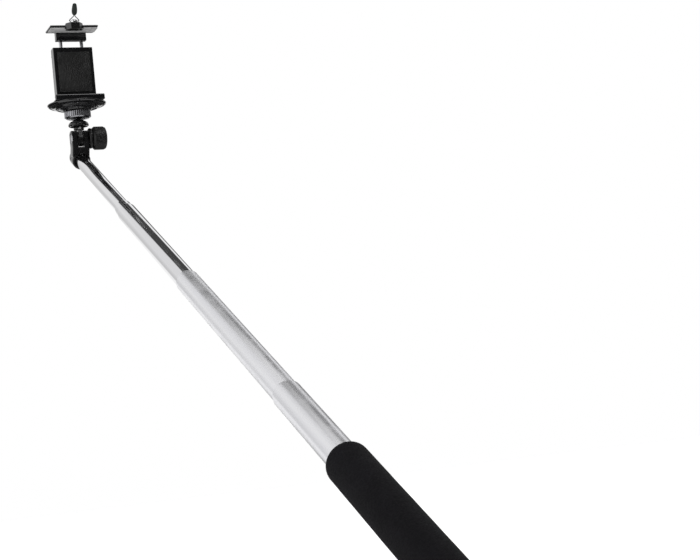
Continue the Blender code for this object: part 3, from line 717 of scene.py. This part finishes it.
def make_nut():
    low, high = span("hinge_nut", KNOB)
    flat = 4.0 * mm
    corner = flat / math.cos(math.radians(30))
    bm = bmesh.new()
    heights = [(low, 0.92), (low + 0.35 * mm, 1.0), (high - 0.1 * mm, 1.0), (high, 0.97)]
    walls = []
    for height, size in heights:
        walls.append([bm.verts.new((corner * size * math.cos(math.radians(60 * k + 5)),
                                    corner * size * math.sin(math.radians(60 * k + 5)), height))
                      for k in range(6)])
    bore = [[bm.verts.new((2.6 * mm * math.cos(math.radians(60 * k + 5)),
                           2.6 * mm * math.sin(math.radians(60 * k + 5)), height)) for k in range(6)]
            for height in (high, low)]
    loops = walls + bore
    for lower, upper in zip(loops, loops[1:] + loops[:1]):
        for k in range(6):
            bm.faces.new((lower[k], lower[(k + 1) % 6], upper[(k + 1) % 6], upper[k]))
    bmesh.ops.recalc_face_normals(bm, faces=bm.faces)
    place_piece("hex_nut", to_mesh("hex_nut", bm), "dark_nickel", ["hinge_nut"], KNOB)


def make_disc(name, node, finish, place, ease, sides=64):
    """A flat washer with eased edges."""
    low, high = span(node, place)
    outer = radius_of(node, place)
    outline = [(2.6 * mm, low), (outer, low), (outer, high), (2.6 * mm, high)]
    place_piece(name, turned(name, eased(outline, ease, 3), sides), finish, [node], place)


def make_flange():
    low, high = span("knob_flange", KNOB)
    outer = radius_of("knob_flange", KNOB)
    outline = [(2.6 * mm, low), (outer - 1.2 * mm, low), (outer, low + 1.0 * mm), (outer, high - 0.5 * mm),
               (outer - 0.6 * mm, high), (2.6 * mm, high)]
    mesh = turned("knob_flange_disc", eased(outline, 0.35 * mm), 96)
    place_piece("knob_flange_disc", mesh, "black_plastic", ["knob_flange"], KNOB)


def make_collar_pin():
    centre = sum(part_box("collar_pin"), Vector()) / 2
    pin_place = frame_with(ACROSS, Vector((0, 0, -1)), centre)
    low, high = span("collar_pin", pin_place)
    outline = [(0, low), (0.8 * mm, low), (1.0 * mm, low + 0.25 * mm), (1.0 * mm, high - 0.25 * mm),
               (0.8 * mm, high), (0, high)]
    mesh = turned("collar_cross_pin", eased(outline, 0.1 * mm, 2), 32)
    place_piece("collar_cross_pin", mesh, "steel", ["collar_pin"], pin_place)


make_nut()
make_disc("washer_left", "friction_washer_left", "black_plastic", KNOB, 0.12 * mm)
make_disc("washer_right", "friction_washer_right", "black_plastic", KNOB, 0.12 * mm)
make_flange()
make_collar_pin()

# %% [markdown]
# ## Clamping knob
# The knob is as wide as the fingers that turn it. Its rim has sixty fine ribs for grip, its inner edge
# is chamfered and its outer face is a shallow dome with a sunk ring. The ribs are the same bars as on
# the knurled ring, only finer, half sunk in the turned body.

# %% Knob and its stud


def make_knob():
    low, high = span("knob", KNOB)
    outer = radius_of("knob", KNOB)
    body = outer - 0.25 * mm
    rim = high - 0.7 * mm
    outline = [(0, low), (outer - 1.9 * mm, low), (body, low + 1.8 * mm), (body, rim - 2.0 * mm),
               (body - 0.5 * mm, rim - 0.6 * mm), (outer - 2.1 * mm, rim),
               (outer - 2.9 * mm, rim + 0.12 * mm),
               (outer - 3.3 * mm, rim - 0.25 * mm), (outer - 3.7 * mm, rim + 0.2 * mm),
               (5.0 * mm, rim + 0.45 * mm), (2.5 * mm, high - 0.06 * mm), (0, high)]
    mesh = turned("clamping_knob", eased(outline, 0.45 * mm), 120)
    middle = (low + rim) / 2 - 0.1 * mm
    mesh = ribbed(mesh, "black_plastic", 60, body - 0.10 * mm, middle, 0.34 * mm, rim - low - 4.3 * mm)
    place_piece("clamping_knob", mesh, "black_plastic", ["knob"], KNOB)


def make_stud():
    low, high = span("knob_stud", KNOB)
    shank = 2.5 * mm
    step = span("knob", KNOB)[0] + 0.6 * mm
    outline = [(0, low), (shank - 0.5 * mm, low)]
    pitch = 0.8 * mm
    turns = int((step - low - 1 * mm) / pitch)
    for turn_number in range(turns):
        foot = low + 0.5 * mm + pitch * turn_number
        outline += [(shank - 0.3 * mm, foot), (shank, foot + pitch / 2)]
    outline += [(shank - 0.3 * mm, step), (3.1 * mm, step), (3.1 * mm, high), (0, high)]
    mesh = turned("knob_stud_thread", eased(outline, 0.08 * mm, 1), 48)
    place_piece("knob_stud_thread", mesh, "steel", ["knob_stud"], KNOB)


make_knob()
make_stud()

# %% [markdown]
# ## Post: stud, umbrella cap and knurled ring
# A camera-thread stud stands on the neck. A glossy cap like a small umbrella covers its foot, and the
# knurled ring above it is spun up against the clamp to lock it. The thread is drawn as grooves, which
# looks the same as a helix at this pitch. The ring's knurl is thirty-eight coarse ribs.

# %% Camera stud


def make_camera_stud():
    low, high = span("mount_stud", POST)
    outer = radius_of("mount_stud", POST)
    shoulder = 13.9 * mm
    pitch = 1.27 * mm
    outline = [(0, low), (1.8 * mm, low), (1.8 * mm, shoulder), (outer - 0.45 * mm, shoulder)]
    for turn_number in range(int((high - shoulder - 1 * mm) / pitch)):
        foot = shoulder + 0.2 * mm + pitch * turn_number
        outline += [(outer - 0.45 * mm, foot), (outer, foot + pitch / 2)]
    outline += [(outer - 0.7 * mm, high - 0.3 * mm), (outer - 0.9 * mm, high), (0, high)]
    mesh = turned("camera_stud", eased(outline, 0.12 * mm, 2), 64)
    place_piece("camera_stud", mesh, "steel", ["mount_stud"], POST)


def make_umbrella_cap():
    low, high = span("umbrella_cap", POST)
    brim = radius_of("umbrella_cap", POST)
    bore = radius_of("mount_stud", POST) + 0.3 * mm
    neck = bore + 0.9 * mm
    crown = high - 1.0 * mm
    flare = []
    for step in range(13):
        angle = math.radians(82 * step / 12)
        flare.append((neck + (brim - neck) * math.cos(angle), low + 0.7 * mm + 3.9 * mm * math.sin(angle)))
    outline = [(4.35 * mm, low + 1.1 * mm), (5.5 * mm, low + 0.9 * mm), (7.6 * mm, low), (8.35 * mm, low)]
    outline = eased(outline + flare[:1], 0.3 * mm)[:-1] + flare
    outline += [(neck, high), (bore, high), (bore, low + 3.3 * mm), (4.35 * mm, low + 3.3 * mm)]
    mesh = turned("umbrella_cap_gloss", outline, 112)
    place_piece("umbrella_cap_gloss", mesh, "gloss_black", ["umbrella_cap"], POST)
    print("cap brim is %.1f mm across, crown %.1f mm above the hinge" % (2 * brim / mm, crown / mm))


def make_knurled_ring():
    low, high = span("lock_ring", POST)
    outer = radius_of("lock_ring", POST)
    bore = radius_of("mount_stud", POST) + 0.1 * mm
    root = outer - 0.5 * mm
    outline = [(bore, low), (5.6 * mm, low), (6.2 * mm, low + 0.6 * mm), (outer - 1.6 * mm, low + 0.9 * mm),
               (root, low + 2.0 * mm), (root, high - 1.0 * mm), (outer - 1.1 * mm, high), (bore, high)]
    mesh = turned("knurled_ring", eased(outline, 0.35 * mm), 114)
    middle = (low + high) / 2 + 0.55 * mm
    mesh = ribbed(mesh, "dark_nickel", 38, root - 0.05 * mm, middle, 0.54 * mm, high - low - 2.6 * mm)
    place_piece("knurled_ring", mesh, "dark_nickel", ["lock_ring"], POST)


make_camera_stud()
make_umbrella_cap()
make_knurled_ring()

# %% [markdown]
# ## Dish under the clamp
# The clamp ends below in a round dish of glossy plastic with two stepped rings, which catch light as
# concentric lines. Its outline is turned with small steps and a raised rim. Fine ribs run outwards
# under the rim, made with the rib tree with its bars laid down, and two screws come up through it.

# %% Dish and its brass thread


def make_dish():
    low, high = span("base_dish", POST)
    rim = radius_of("base_dish", POST)
    hub = 5.9 * mm
    outline = [(hub, low), (11.7 * mm, low), (12.3 * mm, low + 0.5 * mm), (12.9 * mm, low + 1.4 * mm),
               (16.6 * mm, low + 2.3 * mm), (17.1 * mm, low + 1.8 * mm), (18.4 * mm, low + 2.2 * mm),
               (18.9 * mm, low + 3.2 * mm), (21.2 * mm, low + 3.6 * mm), (rim - 1.0 * mm, high - 1.8 * mm),
               (rim, high - 1.1 * mm), (rim, high - 0.3 * mm), (rim - 0.4 * mm, high), (hub, high)]
    mesh = turned("stepped_dish", eased(outline, 0.3 * mm), 128)
    holes = []
    for side in (-1, 1):
        hole = turned("screw_hole", [(0, low - 3 * mm), (2.5 * mm, low - 3 * mm), (2.5 * mm, low + 2.9 * mm),
                                     (1.5 * mm, low + 2.9 * mm), (1.5 * mm, high + 3 * mm),
                                     (0, high + 3 * mm)], 32)
        hole.transform(Matrix.Translation((side * 14.6 * mm, 0, 0)))
        holes.append(hole)
    mesh = drilled(mesh, holes)
    mesh = ribbed(mesh, "gloss_black", 90, 21.9 * mm, low + 3.95 * mm, 0.17 * mm, 3.6 * mm,
                  lean=math.radians(78))
    place_piece("stepped_dish", mesh, "gloss_black", ["base_dish"], POST)


def make_insert():
    low, high = span("dish_insert", POST)
    outer = radius_of("dish_insert", POST)
    bore = radius_of("mount_stud", POST) + 0.1 * mm
    groove = (low + high) / 2
    outline = [(bore, low), (outer, low), (outer, groove - 0.5 * mm), (outer - 0.4 * mm, groove - 0.2 * mm),
               (outer - 0.4 * mm, groove + 0.2 * mm), (outer, groove + 0.5 * mm), (outer, high), (bore, high)]
    mesh = turned("brass_thread", eased(outline, 0.12 * mm, 2), 64)
    place_piece("brass_thread", mesh, "brass", ["dish_insert"], POST)


make_dish()
make_insert()

# %% [markdown]
# ## Screws
# All six screws are alike: a pan head with a cross recess. The head is turned once and two crossing
# wedges are taken out of it. The four in the rear cover stand on the corners of a rectangle, so a small
# node tree puts the head on the points of a two-by-two grid.

# %% One screw


def screw_mesh(length, head):
    outline = [(0, -head), (0.8 * mm, -head), (1.5 * mm, -0.6 * head), (1.8 * mm, 0), (0.9 * mm, 0)]
    pitch = 0.5 * mm
    for turn_number in range(int((length - 0.6 * mm) / pitch)):
        foot = 0.3 * mm + pitch * turn_number
        outline += [(0.72 * mm, foot), (0.9 * mm, foot + pitch / 2)]
    outline += [(0.5 * mm, length), (0, length)]
    body = turned("pan_screw", eased(outline, 0.12 * mm, 2), 40)
    slots = []
    for size in ((0.95, 0.17), (0.17, 0.95)):
        bm = bmesh.new()
        bmesh.ops.create_cube(bm, size=2)
        for vert in bm.verts:
            taper = 1.0 if vert.co.z < 0 else 0.45
            vert.co = (vert.co.x * size[0] * mm * taper, vert.co.y * size[1] * mm, vert.co.z * 0.6 * head)
        bmesh.ops.translate(bm, verts=bm.verts, vec=(0, 0, -head))
        slots.append(to_mesh("recess", bm))
    return drilled(body, slots)


def screw_grid_tree():
    tree, given = start_tree("screws_on_grid", [("Across", "Float"), ("Up", "Float")])
    grid = add_node(tree, "GeometryNodeMeshGrid", Vertices_X=2, Vertices_Y=2,
                    Size_X=given.outputs["Across"], Size_Y=given.outputs["Up"])
    spread = add_node(tree, "GeometryNodeInstanceOnPoints", Points=grid.outputs["Mesh"],
                      Instance=given.outputs["Geometry"])
    return end_tree(tree, given, spread.outputs["Instances"])


# %% Cover screws and dish screws


def make_cover_screws():
    nodes = ["cover_screw_%d" % number for number in (1, 2, 3, 4)]
    corners = [sum(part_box(node), Vector()) / 2 for node in nodes]
    centre = sum(corners, Vector()) / 4
    across = max(c.x for c in corners) - min(c.x for c in corners)
    up = max(c.z for c in corners) - min(c.z for c in corners)
    back = max(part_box(node)[1].y for node in nodes)
    head = 1.0 * mm
    mesh = through_tree("cover_screws", screw_mesh(5 * mm, head), screw_grid_tree(),
                        {"Across": across, "Up": up, "Finish": FINISHES["dark_nickel"]})
    place = Matrix.Translation((centre.x, back - head, centre.z)) @ Matrix.Rotation(math.radians(90), 4, "X")
    place_piece("cover_screws", mesh, "dark_nickel", nodes, place)
    print("cover screws %.1f mm apart across and %.1f mm apart up" % (across / mm, up / mm))


def make_dish_screws():
    for side in ("left", "right"):
        node = "dish_screw_" + side
        low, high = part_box(node)
        head = 1.1 * mm
        place = Matrix.Translation(((low.x + high.x) / 2, (low.y + high.y) / 2, low.z + head))
        name = "dish_pan_screw_" + side
        mesh = screw_mesh(high.z - low.z - head, head)
        mesh.name = name
        place_piece(name, mesh, "dark_nickel", [node], place)


make_cover_screws()
make_dish_screws()

# %% [markdown]
# ## Rubber pads
# Three pads keep the phone from slipping: on the shelf, on the spine and under the sliding jaw. The
# first two are rounded blocks with a row of small ridges on the side that the phone touches, and a node
# tree repeats one ridge along them. The jaw's pad is notched round the hook and has no ridges, so it is
# a softened copy of its solid.

# %% Pads with ridges


def rounded_block(name, low, high, rounding):
    bm = bmesh.new()
    bmesh.ops.create_cube(bm, size=1)
    for vert in bm.verts:
        vert.co = [a if side < 0 else b for side, a, b in zip(vert.co, low, high)]
    bmesh.ops.bevel(bm, geom=list(bm.edges), offset=rounding, segments=3, profile=0.5, affect="EDGES")
    return to_mesh(name, bm)


def ridge_row_tree():
    tree, given = start_tree("ridges_in_a_row", [
        ("Count", "Int"), ("Start", "Vector"), ("Step", "Vector"), ("Ridge Radius", "Float"),
        ("Ridge Length", "Float"), ("Ridge Turn", "Vector")])
    size = given.outputs
    row = add_node(tree, "GeometryNodeMeshLine", Count=size["Count"], Start_Location=size["Start"],
                   Offset=size["Step"])
    ridge = add_node(tree, "GeometryNodeMeshCylinder", Vertices=8, Radius=size["Ridge Radius"],
                     Depth=size["Ridge Length"])
    ridge.fill_type = "TRIANGLE_FAN"
    spread = add_node(tree, "GeometryNodeInstanceOnPoints", Points=row.outputs["Mesh"],
                      Instance=ridge.outputs["Mesh"], Rotation=size["Ridge Turn"])
    join = add_node(tree, "GeometryNodeJoinGeometry", Geometry=spread.outputs["Instances"])
    tree.links.new(size["Geometry"], join.inputs["Geometry"])
    return end_tree(tree, given, join.outputs["Geometry"])


RIDGES = ridge_row_tree()


def ridged_pad(name, node, finish, face_axis, face_side, count):
    """A pad whose ridges run up and down or front to back on the face that the phone touches."""
    low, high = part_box(node)
    ridge = 0.22 * mm
    skin_low, skin_high = low.copy(), high.copy()
    if face_side > 0:
        skin_high[face_axis] -= 0.8 * ridge
    else:
        skin_low[face_axis] += 0.8 * ridge
    mesh = rounded_block(name, skin_low, skin_high, 0.25 * mm)
    run_axis = 1 if face_axis == 2 else 2
    length = (high - low)[run_axis] - 1.6 * mm
    margin = 1.2 * mm
    pitch = (high.x - low.x - 2 * margin) / (count - 1)
    start = (low + high) / 2
    start.x = low.x + margin
    start[face_axis] = (high[face_axis] - ridge) if face_side > 0 else (low[face_axis] + ridge)
    turn = (math.radians(90), 0, 0) if run_axis == 1 else (0, 0, 0)
    mesh = through_tree(name, mesh, RIDGES, {
        "Count": count, "Start": start, "Step": (pitch, 0, 0), "Ridge Radius": ridge,
        "Ridge Length": length, "Ridge Turn": turn, "Finish": FINISHES[finish]})
    place_piece(name, mesh, finish, [node])


ridged_pad("shelf_pad", "lower_pad", "black_rubber", 2, 1, 20)
ridged_pad("spine_pad", "back_pad", "black_rubber", 1, -1, 15)
place_piece("jaw_pad", moulded_copy("jaw_pad", "upper_pad", 0.16 * mm, 3, 0.4), "grey_rubber", ["upper_pad"])

# %% [markdown]
# ## Rods and springs in the spine
# The sliding jaw hangs on two steel rods that run down inside the spine. A clip on each rod's foot
# presses a coil spring up against the spine's roof, and so pulls the jaw down on the phone. The coil
# follows a helix, which Blender has as a ready curve: the node tree sweeps a round wire along it. When
# the jaw slides up the spring is squeezed; the mesh here keeps its shape.

# %% Rods and clips


def make_rods():
    for side in ("left", "right"):
        node, clip_node = "guide_rod_" + side, "rod_clip_" + side
        low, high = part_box(node)
        clip_low, clip_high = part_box(clip_node)
        spot = Matrix.Translation(((low.x + high.x) / 2, (low.y + high.y) / 2, 0))
        r = 1.5 * mm
        groove_low, groove_high = clip_low.z - 0.4 * mm, clip_high.z + 0.3 * mm
        foot = low.z + 0.35 * mm
        outline = [(0, foot), (r - 0.3 * mm, foot), (r, foot + 0.3 * mm), (r, groove_low),
                   (r - 0.5 * mm, groove_low), (r - 0.5 * mm, groove_high), (r, groove_high),
                   (r, high.z), (0, high.z)]
        rod = turned("steel_rod_" + side, eased(outline, 0.1 * mm, 2), 40)
        place_piece("steel_rod_" + side, rod, "steel", [node], spot)
        ring_outline = [(1.3 * mm, clip_low.z), (2.9 * mm, clip_low.z), (2.9 * mm, clip_high.z),
                        (1.3 * mm, clip_high.z)]
        clip = turned("spring_clip_" + side, eased(ring_outline, 0.15 * mm, 2), 40)
        place_piece("spring_clip_" + side, clip, "steel", [clip_node], spot)


def coil_tree():
    titles = ("Turns", "Coil Radius", "Wire Radius", "Height")
    tree, given = start_tree("coil_spring", [(title, "Float") for title in titles])
    size = given.outputs
    helix = add_node(tree, "GeometryNodeCurveSpiral", Resolution=28, Rotations=size["Turns"],
                     Start_Radius=size["Coil Radius"], End_Radius=size["Coil Radius"],
                     Height=size["Height"])
    wire = add_node(tree, "GeometryNodeCurvePrimitiveCircle", Resolution=10, Radius=size["Wire Radius"])
    sweep = add_node(tree, "GeometryNodeCurveToMesh", Curve=helix.outputs["Curve"],
                     Profile_Curve=wire.outputs["Curve"], Fill_Caps=True)
    smooth = add_node(tree, "GeometryNodeSetShadeSmooth", Geometry=sweep.outputs["Mesh"])
    return end_tree(tree, given, smooth.outputs["Geometry"])


def make_springs():
    tree = coil_tree()
    for side in ("left", "right"):
        node = "jaw_spring_" + side
        low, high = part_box(node)
        length = high.z - low.z
        wire = 0.3 * mm
        name = "coil_spring_" + side
        mesh = through_tree(name, bpy.data.meshes.new(name), tree, {
            "Turns": 9.0, "Coil Radius": 2.25 * mm, "Wire Radius": wire, "Height": length - 2 * wire,
            "Finish": FINISHES["steel"]})
        place = Matrix.Translation(((low.x + high.x) / 2, (low.y + high.y) / 2, low.z + wire))
        spring = place_piece(name, mesh, "steel", [node], place)
        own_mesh(spring)


make_rods()
make_springs()

# %% [markdown]
# ## Finger pull
# A chrome dome on the hook carries a small wire fork, and the fork a tab dipped in soft coating: one
# finger on it lifts the jaw. The wire is one bent rod, made by sweeping a circle along a curve. The dome
# is a quarter of a millimetre slim, so that the folded fork clears it. The tab is a leaf: rings of a
# rounded cross-section, wide in the middle and thin at the tip.

# %% Dome, fork and tab


def make_dome():
    low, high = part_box("pull_stud")
    spot = Matrix.Translation(((low.x + high.x) / 2, (low.y + high.y) / 2, 0))
    dome = (high.x - low.x) / 2 - 0.25 * mm
    seat = high.z - 2.7 * mm
    outline = [(0, low.z), (1.0 * mm, low.z), (1.0 * mm, seat), (dome - 0.1 * mm, seat)]
    for step in range(13):
        angle = math.radians(90 * step / 12)
        outline.append((dome * math.cos(angle), seat + 0.8 * mm + 1.9 * mm * math.sin(angle)))
    outline[-1] = (0, high.z)
    mesh = turned("chrome_dome", outline, 80)
    hole_place = Matrix.Translation(JOINTS["pull_fold"]["pos_m"]) @ Matrix.Rotation(math.radians(90), 4, "Y")
    holes = []
    for x in (-dome, dome):
        hole = turned("wire_hole", [(0, -1.5 * mm), (0.75 * mm, -1.5 * mm), (0.75 * mm, 1.5 * mm),
                                    (0, 1.5 * mm)], 24)
        hole.transform(Matrix.Translation((x, 0, 0)) @ hole_place)
        holes.append(hole)
    mesh.transform(spot)
    place_piece("chrome_dome", drilled(mesh, holes), "bright_dome", ["pull_stud"])


def make_fork():
    left = [(-2.6, 0), (-3.6, 0), (-4.0, 0.25), (-4.0, 0.9), (-0.5, 4.4), (-0.5, 8.5), (-0.3, 8.9)]
    route = eased([(x * mm, z * mm) for x, z in left + [(-x, z) for x, z in reversed(left)]], 0.5 * mm, 5)
    curve = bpy.data.curves.new("fork_wire", "CURVE")
    curve.dimensions = "3D"
    curve.bevel_depth = 0.4 * mm
    curve.bevel_resolution = 4
    curve.use_fill_caps = True
    line = curve.splines.new("POLY")
    line.points.add(len(route) - 1)
    for point, (x, z) in zip(line.points, route):
        point.co = (x, 0, z, 1)
    mesh = evaluated_mesh("fork_wire", bpy.data.objects.new("fork_draft", curve))
    mesh.shade_smooth()
    place_piece("fork_wire", mesh, "dark_nickel", ["pull_bail"], PULL)


def make_tab():
    low, high = span("pull_tab", PULL)
    widest = max(abs(value) for value in span("pull_tab", PULL, 0))
    thick = max(abs(value) for value in span("pull_tab", PULL, 1))
    rings, sides = 28, 28
    bm = bmesh.new()
    loops = []
    for ring in range(rings + 1):
        t = ring / rings
        ends = math.sqrt(max(1 - (2 * t - 1) ** 6, 0.0))
        half_width = widest * (0.80 + 0.20 * math.sin(math.pi * min(1.25 * t, 1.0))) * max(ends, 0.02)
        half_thick = thick * (0.95 - 0.35 * t) * max(ends, 0.02)
        loop = []
        for side in range(sides):
            angle = math.tau * side / sides
            c, s = math.cos(angle), math.sin(angle)
            bulge = 2 / 2.6
            loop.append(bm.verts.new((half_width * math.copysign(abs(c) ** bulge, c),
                                      half_thick * math.copysign(abs(s) ** bulge, s),
                                      low + (high - low) * t)))
        loops.append(loop)
    for lower, upper in zip(loops, loops[1:]):
        for side in range(sides):
            turn = (side + 1) % sides
            bm.faces.new((lower[side], lower[turn], upper[turn], upper[side]))
    bm.faces.new(list(reversed(loops[0])))
    bm.faces.new(loops[-1])
    bmesh.ops.recalc_face_normals(bm, faces=bm.faces)
    place_piece("dipped_tab", to_mesh("dipped_tab", bm, 60), "dipped_tab", ["pull_tab"], PULL)


make_dome()
make_fork()
make_tab()
print("pieces made:", len(made))

# %% [markdown]
# ## Floor, light and camera
# The stick is shown as in a studio, on white. Polished metal shows the room and not itself, so the
# world shader gives reflections a room of their own. Ahead it is pale, with a bright ceiling whose front
# edge is a dark beam. Behind the viewer it is dark, with a window and a skylight, and a second window is
# far to the left. Everything that isn't shiny gets plain soft light from all round. One shader holds the
# whole room, so the bands of light on the tubes can be moved without touching any lamp.

# %% Floor


def make_floor():
    low = min(box_corner.z for box_corner in (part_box("grip_end_cap")[0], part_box("grip_sleeve")[0]))
    half_width = 6.0
    drop = 0.25
    bm = bmesh.new()
    corners = [bm.verts.new((x * half_width, y * half_width, low - drop))
               for x, y in ((-1, -1), (1, -1), (1, 1), (-1, 1))]
    bm.faces.new(corners)
    floor = bpy.data.objects.new("floor", to_mesh("floor", bm))
    bpy.context.scene.collection.objects.link(floor)
    paint = bpy.data.materials.new("floor_paint")
    paint.use_nodes = True
    shader = paint.node_tree.nodes["Principled BSDF"]
    shader.inputs["Base Color"].default_value = (0.93, 0.93, 0.93, 1)
    shader.inputs["Roughness"].default_value = 0.9
    shader.inputs["Emission Color"].default_value = (1, 1, 1, 1)
    shader.inputs["Emission Strength"].default_value = 0.45
    floor.data.materials.append(paint)
    floor.visible_glossy = False


make_floor()

# %% World: what the polished parts reflect


def make_world():
    world = bpy.data.worlds.new("studio")
    world.use_nodes = True
    bpy.context.scene.world = world
    tree = world.node_tree
    background = tree.nodes["Background"]
    direction = tree.nodes.new("ShaderNodeTexCoord").outputs["Generated"]
    apart = tree.nodes.new("ShaderNodeSeparateXYZ")
    tree.links.new(direction, apart.inputs[0])
    x, y, z = (apart.outputs[axis] for axis in "XYZ")

    def layer(under, mask, over):
        node = tree.nodes.new("ShaderNodeMix")
        tree.links.new(mask, node.inputs[0])
        for number, value in ((2, under), (3, over)):
            if isinstance(value, bpy.types.NodeSocket):
                tree.links.new(value, node.inputs[number])
            else:
                node.inputs[number].default_value = value
        return node.outputs[0]

    def zone(value, low, high, edge):
        """1 between low and high, with soft edges."""
        rise = remap(tree, value, low - edge, low + edge, 0.0, 1.0)
        fall = remap(tree, value, high - edge, high + edge, 1.0, 0.0)
        return calculate(tree, "MULTIPLY", rise, fall)

    azimuth = calculate(tree, "ARCTAN2", x, y)
    ahead = remap(tree, y, -0.15, 0.30, 0.0, 1.0)
    low_sky = remap(tree, z, 0.10, 0.45, LOW_HORIZON, HORIZON)
    haze = remap(tree, z, 0.02, 0.10, 1.0, 0.0)
    view = layer(DARK_ROOM, ahead, layer(low_sky, haze, WHITE_EDGE))
    left = remap(tree, x, -0.80, -0.50, 1.0, 0.0)
    view = layer(view, left, LEFT_WALL)
    below = zone(z, -0.78, -0.17, 0.02)
    view = layer(view, calculate(tree, "MULTIPLY", below, ahead), DARK_BELOW)
    table = remap(tree, z, -0.88, -0.80, 1.0, 0.0)
    view = layer(view, table, TABLE)
    ceiling = remap(tree, z, 0.820, 0.835, 0.0, 1.0)
    view = layer(view, ceiling, CEILING)
    beam_width = zone(azimuth, math.radians(-15), math.radians(42), math.radians(2))
    beam = calculate(tree, "MULTIPLY", zone(z, 0.605, 0.826, 0.01), beam_width)
    view = layer(view, beam, DARK_BEAM)
    right = zone(azimuth, math.radians(14), math.radians(42), math.radians(2))
    view = layer(view, calculate(tree, "MULTIPLY", right, zone(z, -0.02, 0.42, 0.02)), EDGE_DARK)
    view = layer(view, calculate(tree, "MULTIPLY", right, zone(z, 0.44, 0.59, 0.01)), STRIP)
    behind = remap(tree, y, -0.45, -0.30, 1.0, 0.0)
    window = calculate(tree, "MULTIPLY", zone(x, -0.42, -0.22, 0.03), zone(z, 0.28, 0.52, 0.03))
    view = layer(view, calculate(tree, "MULTIPLY", window, behind), WINDOW)
    far_left = remap(tree, x, -0.96, -0.93, 1.0, 0.0)
    side_window = calculate(tree, "MULTIPLY", far_left, zone(z, 0.02, 0.26, 0.03))
    view = layer(view, side_window, SIDE_WINDOW)
    skylight = calculate(tree, "MULTIPLY", zone(x, -0.10, 0.45, 0.03), zone(z, 0.68, 0.86, 0.02))
    view = layer(view, calculate(tree, "MULTIPLY", skylight, behind), SKYLIGHT)
    path = tree.nodes.new("ShaderNodeLightPath")
    seen = layer(SOFT_LIGHT, path.outputs["Is Glossy Ray"], view)
    seen = layer(seen, path.outputs["Is Camera Ray"], 1.0)
    tree.links.new(seen, background.inputs["Color"])
    return world


DARK_ROOM = 0.04       # behind the viewer
WINDOW = 1.4           # a window there, up to the left
SIDE_WINDOW = 2.0      # a low one, far to the left
SKYLIGHT = 7.0         # high up behind the viewer
HORIZON = 0.82         # ahead, where most of a tube's side looks
LOW_HORIZON = 0.64
WHITE_EDGE = 0.98
LEFT_WALL = 0.95
DARK_BELOW = 0.03
TABLE = 0.95
CEILING = 0.90
DARK_BEAM = 0.06       # across the ceiling's front edge
EDGE_DARK = 0.14
STRIP = 0.95
SOFT_LIGHT = 0.75      # on everything that isn't shiny
make_world()

# %% Lamps


def soft_lamp(name, spot, target, size, power, in_gloss):
    data = bpy.data.lights.new(name, "AREA")
    data.shape = "DISK"
    data.size = size
    data.energy = power
    lamp = bpy.data.objects.new(name, data)
    facing = (spot - target).to_track_quat("Z", "Y").to_matrix().to_4x4()
    lamp.matrix_world = Matrix.Translation(spot) @ facing
    lamp.visible_glossy = in_gloss
    lamp.visible_camera = False
    bpy.context.scene.collection.objects.link(lamp)


soft_lamp("key_lamp", HINGE_POINT + Vector((-0.9, -0.9, 0.9)), HINGE_POINT, 0.7, 6.0, False)

# %% Camera
CAMERA_OFFSET = Vector((-0.2926, -1.3417, -0.2458))     # from the hinge
CAMERA_AXES = Matrix(((0.9287, -0.3567, -0.1012), (0.0673, -0.1062, 0.9921), (-0.3646, -0.9282, -0.0746)))
SENSOR = 36.0
LENS = 82.19

camera_data = bpy.data.cameras.new("camera")
camera_data.sensor_fit = "HORIZONTAL"
camera_data.sensor_width = SENSOR
camera_data.lens = LENS
camera_data.clip_start = 0.01
camera = bpy.data.objects.new("camera", camera_data)
camera.matrix_world = Matrix.Translation(HINGE_POINT + CAMERA_OFFSET) @ CAMERA_AXES.transposed().to_4x4()
bpy.context.scene.collection.objects.link(camera)
bpy.context.scene.camera = camera
bpy.context.scene.view_settings.view_transform = "Standard"
